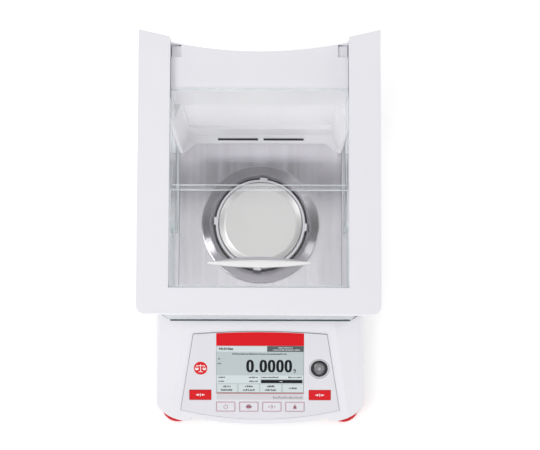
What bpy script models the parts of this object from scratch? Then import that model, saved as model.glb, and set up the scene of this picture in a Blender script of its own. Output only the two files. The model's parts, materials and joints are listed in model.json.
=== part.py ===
"""Analytical balance with a glass draft shield, as an assembly of separate pieces.

X = 0 is the plane of symmetry, -Y is the front and Z = 0 is the bench.
Sizes below are millimetres. The helpers turn them into metres.
"""
import math

import bmesh
import bpy
from mathutils import Euler, Matrix, Vector

MM = 0.001
GAP = 0.3  # kept between pieces that touch

# Overall form
HALF_WIDTH = 115.0
FRONT_Y = -189.0
BASE_REAR_Y = 184.0
TRAY_BOTTOM = 14.0
TRAY_TOP = 24.0
BASE_TOP = 78.0
WALL = 3.0
RAIL_BOTTOM = 318.0
RAIL_TOP = 340.0

# Sloped display face: a plane through this point, tilted about X
PANEL_Y = -136.5
PANEL_Z = 57.5
PANEL_TILT = math.radians(19.0)
OVERLAY_OUT = (0.3, 1.1)
SCREEN_HALF = 48.0
SCREEN_LOW = -18.6
SCREEN_HIGH = 35.4
LEVEL_PLACE = (64.9, 9.0)
LEVEL_RING_RADIUS = 9.0
KEY_DEPTH = 3.0
KEY_PROUD = 0.15
TARE_SIZE = (24.0, 11.6)
TARE_CENTRE = (65.7, -21.1)
SMALL_KEY_SIZE = (20.8, 11.0)
SMALL_KEY_UP = -34.7
SMALL_KEY_PITCH = 25.4
SMALL_KEY_SHIFT = 0.3

# The housing's shoulders, the draft of its sides and its front lobes
SHOULDER_REAR = (82.0, -82.0)
SHOULDER_FRONT = (98.0, -180.0)
SHOULDER_FALL = 0.34
SIDE_DRAFT = math.radians(82.9)
SIDE_DRAFT_X = 109.0
LOBE_CENTRE = (79.0, -140.0)
LOBE_RADIUS = 45.6

# Feet
FRONT_FOOT = (93.0, -169.0)
REAR_FOOT = (93.0, 160.0)
WHEEL_RADIUS = 18.0
STUD_RADIUS = 4.0
STUD_TOP = 21.0
PAD_RADIUS = 11.0

# Screws that hold the cover to the tray
SCREW_X = 108.0
SCREW_ROWS = (-130.0, 20.0, 150.0)
SCREW_HOLE_RADIUS = 1.9

# Weighing chamber
PAN_Y = 28.0
PAN_TOP = 100.0
PAN_RADIUS = 45.0
SHIELD_TOP = 82.0
FLOOR_TOP = 85.0
TRACK_TOP = 85.0
CHAMBER_FRONT = -71.0
WALL_Y = 126.5
LEDGE_Y = 117.2
POST_X = 85.0
POST_Y = 107.0
RAIL_INNER = 85.0
BAR_INNER_Y = -57.0
COVER_FRONT_Y = 133.5
COLUMN_HALF = 88.3
COLUMN_FRONT_Y = 137.4
PIN_HOLE_RADIUS = 8.0

# Glass
GLASS_BOTTOM = 83.4
GLASS_TOP = 327.0
INNER_DOOR_X = (90.4, 93.2)
OUTER_DOOR_X = (94.6, 97.4)
TOP_GLASS_Z = (331.0, 335.0)
HINGE_Y = 38.2
HINGE_Z = 336.5

# Weigh cell, on the tray's floor under the pan
CELL_FLOOR = 17.3
PIVOT_Y = 66.0
BEAM_Z = (46.0, 51.0)
MAGNET_Y = 125.0
WEIGHT_CENTRE = (2.0, 50.0)

PARTS = None
CUTTERS = None


# ---------------------------------------------------------------- helpers

def start_scene():
    """Empty the scene and make the two collections."""
    global PARTS, CUTTERS
    for old in list(bpy.data.objects):
        bpy.data.objects.remove(old, do_unlink=True)
    PARTS = bpy.data.collections.new("analytical_balance")
    CUTTERS = bpy.data.collections.new("cutters")
    bpy.context.scene.collection.children.link(PARTS)
    bpy.context.scene.collection.children.link(CUTTERS)


def add(name, mesh, place, turn=(0.0, 0.0, 0.0)):
    """Put a mesh in the scene. A name that starts with cut_ is a cutter."""
    piece = bpy.data.objects.new(name, mesh)
    is_cutter = name.startswith("cut_")
    home = CUTTERS if is_cutter else PARTS
    home.objects.link(piece)
    piece.location = Vector(place) * MM
    piece.rotation_euler = turn
    if is_cutter:
        piece.hide_render = True
        piece.display_type = "WIRE"
    return piece


def finish(piece, colour, roughness, metallic=0.0, alpha=1.0):
    """Give a piece its own Principled material."""
    material = bpy.data.materials.new(piece.name + "_finish")
    material.use_nodes = True
    shader = material.node_tree.nodes["Principled BSDF"]
    shader.inputs["Base Color"].default_value = (*colour, 1.0)
    shader.inputs["Roughness"].default_value = roughness
    shader.inputs["Metallic"].default_value = metallic
    shader.inputs["Alpha"].default_value = alpha
    piece.data.materials.append(material)
    return piece


def white_plastic(piece):
    return finish(piece, (0.80, 0.80, 0.84), 0.35)


def dark_plastic(piece):
    return finish(piece, (0.03, 0.03, 0.035), 0.5)


def red_plastic(piece):
    return finish(piece, (0.72, 0.012, 0.02), 0.35)


def steel(piece):
    return finish(piece, (0.62, 0.60, 0.61), 0.32, metallic=1.0)


def cast_metal(piece):
    return finish(piece, (0.55, 0.56, 0.58), 0.5, metallic=1.0)


def clear_glass(piece):
    return finish(piece, (0.82, 0.92, 0.90), 0.03, alpha=0.3)


def box(name, low, high, origin=None):
    """A block between two corners, with its origin at its centre or where asked."""
    low = Vector(low)
    high = Vector(high)
    origin = (low + high) / 2 if origin is None else Vector(origin)
    mesh = bpy.data.meshes.new(name)
    bm = bmesh.new()
    shift = Matrix.Translation(((low + high) / 2 - origin) * MM)
    bmesh.ops.create_cube(bm, size=1.0, matrix=shift @ Matrix.Diagonal((*((high - low) * MM), 1.0)))
    bm.to_mesh(mesh)
    bm.free()
    return add(name, mesh, origin)


def cylinder(name, radius, start, length, axis="Z", segments=24, origin=None):
    """A round bar that starts at a point and runs along an axis."""
    spin = {"Z": Euler((0, 0, 0)), "X": Euler((0, math.pi / 2, 0)), "Y": Euler((-math.pi / 2, 0, 0))}[axis]
    start = Vector(start)
    origin = start if origin is None else Vector(origin)
    mesh = bpy.data.meshes.new(name)
    bm = bmesh.new()
    place = Matrix.Translation((start - origin) * MM) @ spin.to_matrix().to_4x4()
    place = place @ Matrix.Translation((0, 0, length / 2 * MM))
    bmesh.ops.create_cone(bm, cap_ends=True, segments=segments, radius1=radius * MM,
                          radius2=radius * MM, depth=length * MM, matrix=place)
    bm.to_mesh(mesh)
    bm.free()
    return add(name, mesh, origin)


def turned(name, profile, centre, segments=48, closed=False):
    """A turned piece: (radius, height) points that run down the outer side, spun about Z."""
    mesh = bpy.data.meshes.new(name)
    points = [(radius * MM, 0.0, height * MM) for radius, height in profile]
    edges = [(i, i + 1) for i in range(len(points) - 1)]
    if closed:
        edges.append((len(points) - 1, 0))
    mesh.from_pydata(points, edges, [])
    piece = add(name, mesh, centre)
    screw = piece.modifiers.new("turn", "SCREW")
    screw.steps = segments
    screw.render_steps = segments
    screw.use_merge_vertices = True
    screw.merge_threshold = 0.00001
    return piece


def prism(name, outlines, low, high, plane="XY", origin=(0.0, 0.0, 0.0)):
    """A solid of constant section. Outlines after the first are holes.

    Plane XY runs along Z, YZ runs along X, and XZ runs along -Y.
    """
    turn = {"XY": (0, 0, 0), "YZ": (math.pi / 2, 0, math.pi / 2), "XZ": (math.pi / 2, 0, 0)}[plane]
    curve = bpy.data.curves.new(name + "_outline", "CURVE")
    curve.dimensions = "2D"
    curve.fill_mode = "BOTH"
    curve.extrude = (high - low) / 2 * MM
    for outline in outlines:
        spline = curve.splines.new("POLY")
        spline.points.add(len(outline) - 1)
        for point, (across, up) in zip(spline.points, outline):
            point.co = (across * MM, up * MM, 0.0, 1.0)
        spline.use_cyclic_u = True
    drawn = bpy.data.objects.new(name + "_drawn", curve)
    bpy.context.scene.collection.objects.link(drawn)
    depsgraph = bpy.context.evaluated_depsgraph_get()
    mesh = bpy.data.meshes.new_from_object(drawn.evaluated_get(depsgraph))
    bpy.data.objects.remove(drawn, do_unlink=True)
    mesh.name = name
    bm = bmesh.new()
    bm.from_mesh(mesh)
    bmesh.ops.translate(bm, verts=bm.verts, vec=(0.0, 0.0, (high + low) / 2 * MM))
    bmesh.ops.remove_doubles(bm, verts=bm.verts, dist=0.000001)
    bmesh.ops.dissolve_limit(bm, angle_limit=0.001, verts=bm.verts, edges=bm.edges)
    bmesh.ops.recalc_face_normals(bm, faces=bm.faces)
    bm.to_mesh(mesh)
    bm.free()
    return add(name, mesh, origin, turn)


def combine(piece, other, operation):
    """Boolean a piece with a cutter object."""
    step = piece.modifiers.new(operation.lower(), "BOOLEAN")
    step.operation = operation
    step.object = other
    return piece


def cut(piece, *others):
    for other in others:
        combine(piece, other, "DIFFERENCE")
    return piece


def join(piece, *others):
    for other in others:
        combine(piece, other, "UNION")
    return piece


def smooth(piece, angle=35.0):
    """Shade the round faces of a piece smooth."""
    piece.data.shade_smooth()
    piece.data.set_sharp_from_angle(angle=math.radians(angle))
    return piece


def arc(centre, radius, start, end, steps):
    """Points along an arc, in degrees."""
    points = []
    for i in range(steps + 1):
        angle = math.radians(start + (end - start) * i / steps)
        points.append((centre[0] + radius * math.cos(angle), centre[1] + radius * math.sin(angle)))
    return points


def circle(centre, radius, steps=32):
    return arc(centre, radius, 0.0, 360.0, steps)[:-1]


def rounded_rectangle(low, high, radius, steps=4):
    """Outline of a rectangle with round corners."""
    x0, y0 = low
    x1, y1 = high
    return (arc((x1 - radius, y0 + radius), radius, -90, 0, steps)
            + arc((x1 - radius, y1 - radius), radius, 0, 90, steps)
            + arc((x0 + radius, y1 - radius), radius, 90, 180, steps)
            + arc((x0 + radius, y0 + radius), radius, 180, 270, steps))


def rectangle(low, high):
    return [low, (high[0], low[1]), high, (low[0], high[1])]


def mirrored(half):
    """Close an outline whose right half runs from the front to the rear."""
    return half + [(-x, y) for x, y in reversed(half) if abs(x) > 1e-6]


def sagging_line(x_end, y_middle, y_end, steps):
    """Half of a shallow arc, from x = 0 to x_end."""
    return [(x_end * i / steps, y_middle + (y_end - y_middle) * (i / steps) ** 2) for i in range(steps + 1)]


def on_panel(across, up, out=0.0):
    """World point of a place on the display face: across, up the slope, and out of it."""
    sine = math.sin(PANEL_TILT)
    cosine = math.cos(PANEL_TILT)
    return (across, PANEL_Y + up * cosine - out * sine, PANEL_Z + up * sine + out * cosine)


def panel_box(name, low, high, centre_out=0.0):
    """A block square to the display face, with its origin in its own middle."""
    middle = ((low[0] + high[0]) / 2, (low[1] + high[1]) / 2)
    place = on_panel(middle[0], middle[1], centre_out)
    half = ((high[0] - low[0]) / 2, (high[1] - low[1]) / 2)
    piece = box(name, (-half[0], -half[1], low[2] - centre_out), (half[0], half[1], high[2] - centre_out),
                origin=(0.0, 0.0, 0.0))
    piece.location = Vector(place) * MM
    piece.rotation_euler = (PANEL_TILT, 0.0, 0.0)
    return piece


def both_sides(make):
    """Build a piece for the left (-1) and for the right (+1)."""
    return [make(side, word) for side, word in ((-1, "left"), (1, "right"))]


def span(side, inner, outer):
    """The two X values of something between two distances from the middle, in rising order."""
    return tuple(sorted((side * inner, side * outer)))


# ---------------------------------------------------------------- base

def base_outline():
    """Plan of the base: a bowed front lip, a round foot lobe at each front corner, straight sides."""
    lip = sagging_line(77.0, FRONT_Y, -181.7, 8)
    lobe = arc(LOBE_CENTRE, LOBE_RADIUS, -91, -43, 8) + [(114.3, -168.3), (HALF_WIDTH, -165.0)]
    rear = arc((HALF_WIDTH - 8.0, BASE_REAR_Y - 8.0), 8.0, 0, 90, 3)
    return mirrored(lip + lobe + rear)


def hollow_outline():
    """Plan of the space inside the base."""
    half = (arc((86.0, -148.0), 26.0, -90, 0, 4)
            + arc((106.0, 175.0), 6.0, 0, 90, 2))
    return mirrored([(0.0, -174.0)] + half)


def panel_profile(lowered):
    """Side view of the housing: the display slope and the flat top, lowered by a wall thickness."""
    slope = math.tan(PANEL_TILT)
    drop = lowered / math.cos(PANEL_TILT)

    def slope_z(y):
        return PANEL_Z + (y - PANEL_Y) * slope - drop

    flat = BASE_TOP - lowered
    return [(-195.0, 20.0), (-195.0, slope_z(-195.0)), (-85.0, slope_z(-85.0)),
            (-79.0, flat - 0.9), (-73.0, flat), (190.0, flat), (190.0, 20.0)]


def shoulder_cutter(name, side, lowered):
    """The front shoulder beside the display face, which falls away outwards from a slanted crease."""
    ends = []
    for x, y in (SHOULDER_REAR, SHOULDER_FRONT):
        ends.append(Vector(on_panel(side * x, (y - PANEL_Y) / math.cos(PANEL_TILT))))
    rear, front = ends
    along = (rear - front).normalized()
    outward = Vector((side, 0.0, -SHOULDER_FALL))
    outward = (outward - along * outward.dot(along)).normalized()
    up = along.cross(outward) * -side
    reach = Vector((70.0, 150.0, 40.0)) * MM
    axes = Matrix((outward * side, along, up)).transposed()
    mesh = bpy.data.meshes.new("shoulder")
    bm = bmesh.new()
    shift = Matrix.Translation((side * reach[0] / 2, -reach[1] / 2, reach[2] / 2))
    bmesh.ops.create_cube(bm, size=1.0, matrix=shift @ Matrix.Diagonal((*reach, 1.0)))
    bm.to_mesh(mesh)
    bm.free()
    cutter = add(name, mesh, rear + along * 9.0 - up * lowered)
    cutter.rotation_euler = axes.to_euler()
    return cutter


def side_draft_cutter(name, side, lowered):
    """The draft of each side, which leans inwards up to the flat top."""
    x0, x1 = span(side, -10.0, 70.0)
    cutter = box(name, (x0, -250.0, 0.0), (x1, 250.0, 30.0), origin=(0, 0, 0))
    inwards = Vector((-side * math.sin(SIDE_DRAFT), 0.0, -math.cos(SIDE_DRAFT))) * lowered
    cutter.location = (Vector((side * SIDE_DRAFT_X, 0.0, BASE_TOP)) + inwards) * MM
    cutter.rotation_euler = (0.0, side * SIDE_DRAFT, 0.0)
    return cutter


def slope_edges(piece, word, lowered):
    """Take the shoulders and the sides' draft off a housing form, lowered by a wall thickness."""
    for side in (-1, 1):
        cut(piece, shoulder_cutter(f"cut_{word}_shoulder_{side}", side, lowered))
        cut(piece, side_draft_cutter(f"cut_{word}_side_{side}", side, lowered))


def make_base_tray():
    tray = prism("base_tray", [base_outline()], TRAY_BOTTOM, TRAY_TOP)
    cut(tray, prism("cut_tray_hollow", [hollow_outline()], TRAY_BOTTOM + WALL, TRAY_TOP + 5))
    x, y = FRONT_FOOT
    for side in (-1, 1):
        join(tray, cylinder(f"cut_boss_{side}", 8.0, (side * x, y, TRAY_BOTTOM + 1), 8.7))
        cut(tray, cylinder(f"cut_stud_hole_{side}", STUD_RADIUS + 0.3, (side * x, y, 10.0), 30.0))
        for spot, screw_y in enumerate(SCREW_ROWS):
            cut(tray, cylinder(f"cut_tray_screw_{side}_{spot}", SCREW_HOLE_RADIUS,
                               (side * SCREW_X, screw_y, 10.0), 20.0, segments=12))
    cut(tray, cylinder("cut_hook_hole", 9.0, (0.0, PAN_Y, 10.0), 20.0))
    return cast_metal(tray)


def make_base_cover():
    floor = TRAY_TOP + GAP
    cover = prism("base_cover", [base_outline()], floor, BASE_TOP + 4)
    combine(cover, prism("cut_cover_profile", [panel_profile(0.0)], -120.0, 120.0, plane="YZ"), "INTERSECT")
    slope_edges(cover, "outer", 0.0)
    hollow = prism("cut_cover_hollow", [hollow_outline()], floor - 5, BASE_TOP + 4)
    lower_profile = prism("cut_hollow_profile", [panel_profile(WALL)], -119.0, 119.0, plane="YZ")
    combine(hollow, lower_profile, "INTERSECT")
    slope_edges(hollow, "inner", WALL)
    cut(cover, hollow)
    for side in (-1, 1):
        for spot, screw_y in enumerate(SCREW_ROWS):
            boss = cylinder(f"cut_screw_boss_{side}_{spot}", 4.5, (side * SCREW_X, screw_y, floor), 14.0,
                            segments=16)
            hole = cylinder(f"cut_screw_hole_{side}_{spot}", SCREW_HOLE_RADIUS,
                            (side * SCREW_X, screw_y, 20.0), 15.0, segments=12)
            cut(join(cover, boss), hole)
    screen = panel_box("cut_screen_hole", (-SCREEN_HALF - 1.5, SCREEN_LOW - 2.0, -12.0),
                       (SCREEN_HALF + 1.5, SCREEN_HIGH + 2.0, 12.0))
    cut(cover, screen)
    for name, low, high in key_places():
        hole = panel_box("cut_hole_" + name, (low[0] - 0.4, low[1] - 0.4, -12.0),
                         (high[0] + 0.4, high[1] + 0.4, 12.0))
        cut(cover, hole)
    level = cylinder("cut_level_hole", LEVEL_RING_RADIUS + 0.4, (0, 0, -12.0), 24.0, origin=(0, 0, 0))
    level.location = Vector(on_panel(*LEVEL_PLACE)) * MM
    level.rotation_euler = (PANEL_TILT, 0.0, 0.0)
    cut(cover, level)
    cut(cover, cylinder("cut_receiver_hole", PIN_HOLE_RADIUS, (0.0, PAN_Y, 60.0), 30.0))
    for name, low, high in socket_places():
        cut(cover, box("cut_window_" + name, (low[0] - GAP, BASE_REAR_Y - 8, low[1] - GAP),
                       (high[0] + GAP, BASE_REAR_Y + 5, high[1] + GAP)))
    return white_plastic(cover)


def make_hook_cover():
    cover = turned("hook_cover", [(0.0, TRAY_BOTTOM - GAP), (14.0, TRAY_BOTTOM - GAP), (14.0, 12.9),
                                  (13.2, 12.1), (0.0, 12.1)], (0.0, PAN_Y, 0.0), segments=32)
    return dark_plastic(cover)


# ---------------------------------------------------------------- feet

def make_front_foot(side, word):
    """A rubber pad with a red wheel above it, whose stud runs up into the tray's boss."""
    x, y = FRONT_FOOT
    pad = turned("foot_pad_" + word, [(0.0, 4.0), (PAD_RADIUS - 1.0, 4.0), (PAD_RADIUS, 3.0),
                                      (PAD_RADIUS, 0.0), (0.0, 0.0)], (side * x, y, 0.0), segments=32)
    dark_plastic(pad)
    wheel = turned("foot_wheel_" + word,
                   [(0.0, STUD_TOP), (STUD_RADIUS - 1.0, STUD_TOP), (STUD_RADIUS, STUD_TOP - 1.0),
                    (STUD_RADIUS, 10.3), (WHEEL_RADIUS - 1.0, 10.3), (WHEEL_RADIUS, 9.3), (WHEEL_RADIUS, 5.3),
                    (WHEEL_RADIUS - 1.0, 4.3), (0.0, 4.3)],
                   (side * x, y, 0.0), segments=40)
    return red_plastic(wheel)


def make_rear_foot(side, word):
    """Fixed rubber foot, a little wider at its top."""
    x, y = REAR_FOOT
    foot = turned("rear_foot_" + word, [(0.0, TRAY_BOTTOM - GAP), (PAD_RADIUS + 2.0, TRAY_BOTTOM - GAP),
                                        (PAD_RADIUS, 0.0), (0.0, 0.0)], (side * x, y, 0.0), segments=32)
    return dark_plastic(foot)


# ---------------------------------------------------------------- display face

def key_places():
    """Name and the two corners, on the display face, of every key."""
    places = []
    for side, word in ((-1, "left"), (1, "right")):
        places.append(("tare_key_" + word, side * TARE_CENTRE[0], TARE_CENTRE[1], TARE_SIZE))
    for i, word in enumerate(("power_key", "print_key", "zero_key", "cal_key")):
        places.append((word, (i - 1.5) * SMALL_KEY_PITCH + SMALL_KEY_SHIFT, SMALL_KEY_UP, SMALL_KEY_SIZE))
    return [(name, (x - size[0] / 2, up - size[1] / 2), (x + size[0] / 2, up + size[1] / 2))
            for name, x, up, size in places]


def overlay_outline():
    """The overlay has a gently arched top and a deeper bowed bottom."""
    bottom = sagging_line(87.4, -49.2, -38.6, 6)
    top = list(reversed(sagging_line(73.0, 51.3, 48.1, 4)))
    return mirrored(bottom + top)


def make_overlay():
    holes = [rectangle((-SCREEN_HALF, SCREEN_LOW), (SCREEN_HALF, SCREEN_HIGH))]
    holes.append(circle(LEVEL_PLACE, LEVEL_RING_RADIUS + 1.3, 32))
    for _, low, high in key_places():
        holes.append(rectangle((low[0] - GAP, low[1] - GAP), (high[0] + GAP, high[1] + GAP)))
    overlay = prism("display_overlay", [overlay_outline()] + holes, *OVERLAY_OUT, origin=on_panel(0.0, 0.0))
    overlay.rotation_euler = (PANEL_TILT, 0.0, 0.0)
    return white_plastic(overlay)


def make_display():
    window = panel_box("display_window", (-SCREEN_HALF + GAP, SCREEN_LOW + GAP, -1.2),
                       (SCREEN_HALF - GAP, SCREEN_HIGH - GAP, OVERLAY_OUT[1]))
    finish(window, (0.62, 0.68, 0.68), 0.12)
    module = panel_box("lcd_module", (-SCREEN_HALF - 1.0, SCREEN_LOW - 1.5, -7.5),
                       (SCREEN_HALF + 1.0, SCREEN_HIGH + 1.5, -1.5))
    return dark_plastic(module)


def make_keys():
    """Each key's origin is in its own middle. The key slides along the face's normal."""
    for name, low, high in key_places():
        top = OVERLAY_OUT[1] + KEY_PROUD
        key = panel_box(name, (*low, top - KEY_DEPTH), (*high, top), centre_out=top - KEY_DEPTH / 2)
        if name.startswith("tare"):
            red_plastic(key)
        else:
            white_plastic(key)


def make_key_board():
    """The board under the keys, with an ear up each side for the tare keys."""
    half = [(0.0, -40.0), (80.0, -40.0), (80.0, -12.0), (51.5, -12.0), (51.5, -22.5), (0.0, -22.5)]
    board = prism("key_board", [mirrored(half)], -6.2, -4.6, origin=on_panel(0.0, 0.0))
    board.rotation_euler = (PANEL_TILT, 0.0, 0.0)
    return finish(board, (0.03, 0.22, 0.09), 0.5)


def make_level():
    """Round spirit level: a black cup that holds a glass vial."""
    ring = turned("level_ring", [(8.0, 1.1), (LEVEL_RING_RADIUS, 1.1), (LEVEL_RING_RADIUS, -6.0), (5.0, -6.0),
                                 (5.0, -5.0), (7.0, -5.0), (7.0, 1.1)], on_panel(*LEVEL_PLACE), segments=32,
                  closed=True)
    ring.rotation_euler = (PANEL_TILT, 0.0, 0.0)
    dark_plastic(ring)
    vial = turned("level_vial", [(0.0, 1.0), (5.6, 0.8), (6.7, 0.1), (6.7, -4.7), (0.0, -4.7)],
                  on_panel(*LEVEL_PLACE), segments=32)
    vial.rotation_euler = (PANEL_TILT, 0.0, 0.0)
    return clear_glass(vial)


# ---------------------------------------------------------------- electronics at the rear

def socket_places():
    """Name and the two (X, Z) corners of each socket in the rear face."""
    return (("power_inlet", (-101.0, 28.0), (-91.0, 39.0)),
            ("serial_socket", (-86.0, 28.0), (-55.0, 41.0)),
            ("usb_socket", (-50.0, 28.0), (-38.0, 39.0)))


def make_sockets():
    for name, low, high in socket_places():
        socket = box(name, (low[0], 164.0, low[1]), (high[0], BASE_REAR_Y + 0.5, high[1]))
        middle = ((low[0] + high[0]) / 2, (low[1] + high[1]) / 2)
        mouth_y = BASE_REAR_Y + 5.0
        if name == "power_inlet":
            well = cylinder("cut_well_" + name, 3.6, (middle[0], 174.0, middle[1]), 15.0, axis="Y")
            pin = cylinder("cut_pin_" + name, 1.0, (middle[0], 172.0, middle[1]), 11.0, axis="Y", segments=12)
            join(cut(socket, well), pin)
        else:
            well = box("cut_well_" + name, (low[0] + 2.5, 175.0, low[1] + 2.5),
                       (high[0] - 2.5, mouth_y, high[1] - 2.5))
            cut(socket, well)
        dark_plastic(socket)


def make_main_board():
    board = box("main_board", (-102.0, 40.0, 26.0), (-36.0, 177.0, 27.6))
    chips = (("processor", (-80.0, 80.0), (-60.0, 100.0), 3.0),
             ("converter", (-76.0, 120.0), (-62.0, 134.0), 2.5),
             ("regulator", (-98.0, 120.0), (-88.0, 136.0), 9.0))
    for word, low, high, tall in chips:
        join(board, box("cut_chip_" + word, (*low, 27.0), (*high, 27.6 + tall)))
    return finish(board, (0.03, 0.22, 0.09), 0.5)


# ---------------------------------------------------------------- weigh cell

def make_cell_frame():
    """Fixed bracket: a floor plate and a block with a window for the lever beam."""
    frame = box("cell_frame", (-30.0, 44.0, CELL_FLOOR), (30.0, 157.0, 22.7))
    join(frame, box("cut_cell_block", (-26.0, 54.0, 22.0), (26.0, 78.0, 69.5)))
    cut(frame, box("cut_cell_window", (-10.0, 50.0, 38.0), (10.0, 82.0, 60.0)))
    return cast_metal(frame)


def make_guides():
    """Two thin parallel guides from the fixed block to the load receiver."""
    window = rectangle((-14.0, 21.0), (14.0, 50.0))
    upper = prism("upper_guide", [rectangle((-24.0, 15.0), (24.0, 78.0)), window], 69.8, 71.0)
    lower = prism("lower_guide", [rectangle((-24.0, 15.0), (24.0, 53.7)), window], 26.3, 27.5)
    cast_metal(upper)
    return cast_metal(lower)


def make_load_receiver():
    """Moving block with the pan's pin on top, a fork in front and a foot under the lever beam's nose."""
    receiver = box("load_receiver", (-12.0, 15.0, 28.5), (12.0, 34.0, 68.9), origin=(0.0, PAN_Y, 28.5))
    join(receiver, cylinder("cut_receiver_pin", STUD_RADIUS, (0.0, PAN_Y, 60.0), 33.5))
    join(receiver, box("cut_receiver_foot", (-4.0, 30.0, 40.0), (4.0, 42.0, 44.6)))
    join(receiver, box("cut_fork_bar", (-25.0, 15.5, 40.0), (25.0, 20.0, 44.0)))
    for side in (-1, 1):
        x0, x1 = span(side, 21.5, 25.0)
        join(receiver, box(f"cut_fork_arm_{side}", (x0, -3.0, 40.2), (x1, 17.0, 43.8)))
    return cast_metal(receiver)


def make_lever():
    """Lever beam on its pivot, with the force coil under its far end."""
    beam = box("lever_beam", (-5.0, 36.0, BEAM_Z[0]), (5.0, 138.0, BEAM_Z[1]), origin=(0.0, PIVOT_Y, 48.5))
    join(beam, box("cut_beam_flag", (-0.7, 136.0, BEAM_Z[0] + 0.5), (0.7, 154.0, BEAM_Z[1] - 0.5)))
    cast_metal(beam)
    coil = turned("force_coil", [(16.0, 45.7), (16.0, 30.0), (13.0, 30.0), (13.0, 45.7)],
                  (0.0, MAGNET_Y, 0.0), segments=32, closed=True)
    return finish(coil, (0.60, 0.25, 0.08), 0.4, metallic=1.0)


def make_magnet():
    pot = turned("magnet_pot", [(0.0, 43.0), (11.0, 43.0), (11.0, 26.5), (18.5, 26.5), (18.5, 43.0),
                                (24.0, 43.0), (24.0, 23.0), (0.0, 23.0)], (0.0, MAGNET_Y, 0.0), segments=32)
    return cast_metal(pot)


def make_position_sensor():
    fork = box("position_sensor", (-7.0, 149.6, 23.0), (7.0, 156.0, 55.0))
    cut(fork, box("cut_sensor_slot", (-2.0, 140.0, 41.0), (2.0, 160.0, 60.0)))
    return dark_plastic(fork)


def make_calibration():
    """A weight that a motor-driven cradle lowers onto the load receiver's fork."""
    y, z = WEIGHT_CENTRE
    weight = cylinder("calibration_weight", 9.0, (-19.0, y, z), 38.0, axis="X", segments=32,
                      origin=(0.0, y, z))
    join(weight, cylinder("cut_weight_shaft", 2.0, (-27.0, y, z), 54.0, axis="X", segments=16))
    finish(weight, (0.70, 0.52, 0.25), 0.3, metallic=1.0)
    cradle = box("calibration_cradle", (-10.0, y - 11.8, 28.0), (10.0, y + 11.8, 46.0))
    cut(cradle, box("cut_cradle_channel", (-15.0, y - 9.3, 40.7), (15.0, y + 9.3, 50.0)))
    join(cradle, box("cut_cradle_stem", (-3.0, y - 3.0, 24.6), (3.0, y + 3.0, 29.0)))
    dark_plastic(cradle)
    motor = box("calibration_motor", (-16.0, -34.0, CELL_FLOOR), (16.0, 13.0, 20.4))
    join(motor, cylinder("cut_motor_can", 8.0, (-18.0, -25.0, 27.5), 36.0, axis="X"))
    return cast_metal(motor)


# ---------------------------------------------------------------- weighing chamber

def shield_outline():
    """The shield's base plate, with a small slanted corner at each front end."""
    return mirrored([(0.0, -76.0), (97.0, -76.0), (108.0, -68.7), (108.0, 183.0), (0.0, 183.0)])


def make_floor():
    pin_hole = circle((0.0, PAN_Y), PIN_HOLE_RADIUS, 24)
    shield = prism("shield_base", [shield_outline(), pin_hole], BASE_TOP + GAP, SHIELD_TOP)
    white_plastic(shield)
    gasket = turned("floor_gasket", [(60.0, 83.5), (60.0, 82.3), (49.0, 82.3), (49.0, 83.5)],
                    (0.0, PAN_Y, 0.0), closed=True)
    finish(gasket, (0.01, 0.01, 0.012), 0.8)
    edges = rectangle((-88.5, CHAMBER_FRONT), (88.5, 125.0))
    plate = prism("floor_plate", [edges, circle((0.0, PAN_Y), 51.5, 48)], FLOOR_TOP - 1.2, FLOOR_TOP)
    return steel(plate)


def make_track(side, word):
    """Track strip with a groove for the inner door and one for the outer door."""
    section = [(side * x, z) for x, z in track_section()]
    return white_plastic(prism(word + "_track", [section], -182.0, 70.0, plane="XZ"))


def track_section():
    """Cross-section of the right track."""
    groove = 83.0
    points = [(88.9, SHIELD_TOP + GAP), (99.5, SHIELD_TOP + GAP), (99.5, TRACK_TOP)]
    for inner, outer in (OUTER_DOOR_X, INNER_DOOR_X):
        points += [(outer + 0.4, TRACK_TOP), (outer + 0.4, groove)]
        points += [(inner - 0.4, groove), (inner - 0.4, TRACK_TOP)]
    return points + [(88.9, TRACK_TOP)]


def make_wind_ring():
    """Funnel round the pan: an outer skirt, a slope that falls inwards, and an inner lip."""
    profile = [(63.2, 93.4), (64.0, 92.6), (64.0, FLOOR_TOP + GAP), (63.0, FLOOR_TOP + GAP), (63.0, 92.2),
               (53.0, 86.9), (53.0, FLOOR_TOP + GAP), (51.8, FLOOR_TOP + GAP), (51.8, 87.6), (52.6, 88.0)]
    return steel(smooth(turned("wind_ring", profile, (0.0, PAN_Y, 0.0), segments=64, closed=True)))


def make_pan_ring():
    """White ring round the pan, with four tabs that centre the wind ring."""
    low = SHIELD_TOP + GAP
    ring = turned("pan_ring", [(45.8, 95.0), (48.4, 95.0), (48.4, low), (45.8, low)],
                  (0.0, PAN_Y, 0.0), segments=48, closed=True)
    for quarter in range(4):
        tab = box(f"cut_tab_{quarter}", (47.4, -4.0, 91.0), (50.4, 4.0, 94.4), origin=(0.0, 0.0, 0.0))
        tab.location = Vector((0.0, PAN_Y, 0.0)) * MM
        tab.rotation_euler = (0.0, 0.0, math.radians(90.0 * quarter - 4.0))
        join(ring, tab)
    return white_plastic(ring)


def make_pan():
    """Brushed pan with a rim that slopes down, on a support that drops over the load receiver's pin."""
    support = turned("pan_support", [(0.0, 98.4), (30.0, 98.4), (30.0, 96.8), (12.0, 95.0), (8.0, 92.0),
                                     (8.0, 84.5), (4.3, 84.5), (4.3, 93.9), (0.0, 93.9)],
                     (0.0, PAN_Y, 0.0), segments=40)
    cast_metal(support)
    pan = turned("weighing_pan", [(0.0, PAN_TOP), (38.5, PAN_TOP), (PAN_RADIUS, 97.4), (PAN_RADIUS, 96.3),
                                  (38.3, 98.8), (0.0, 98.8)], (0.0, PAN_Y, 0.0), segments=64)
    return steel(smooth(pan))


# ---------------------------------------------------------------- glass

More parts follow.
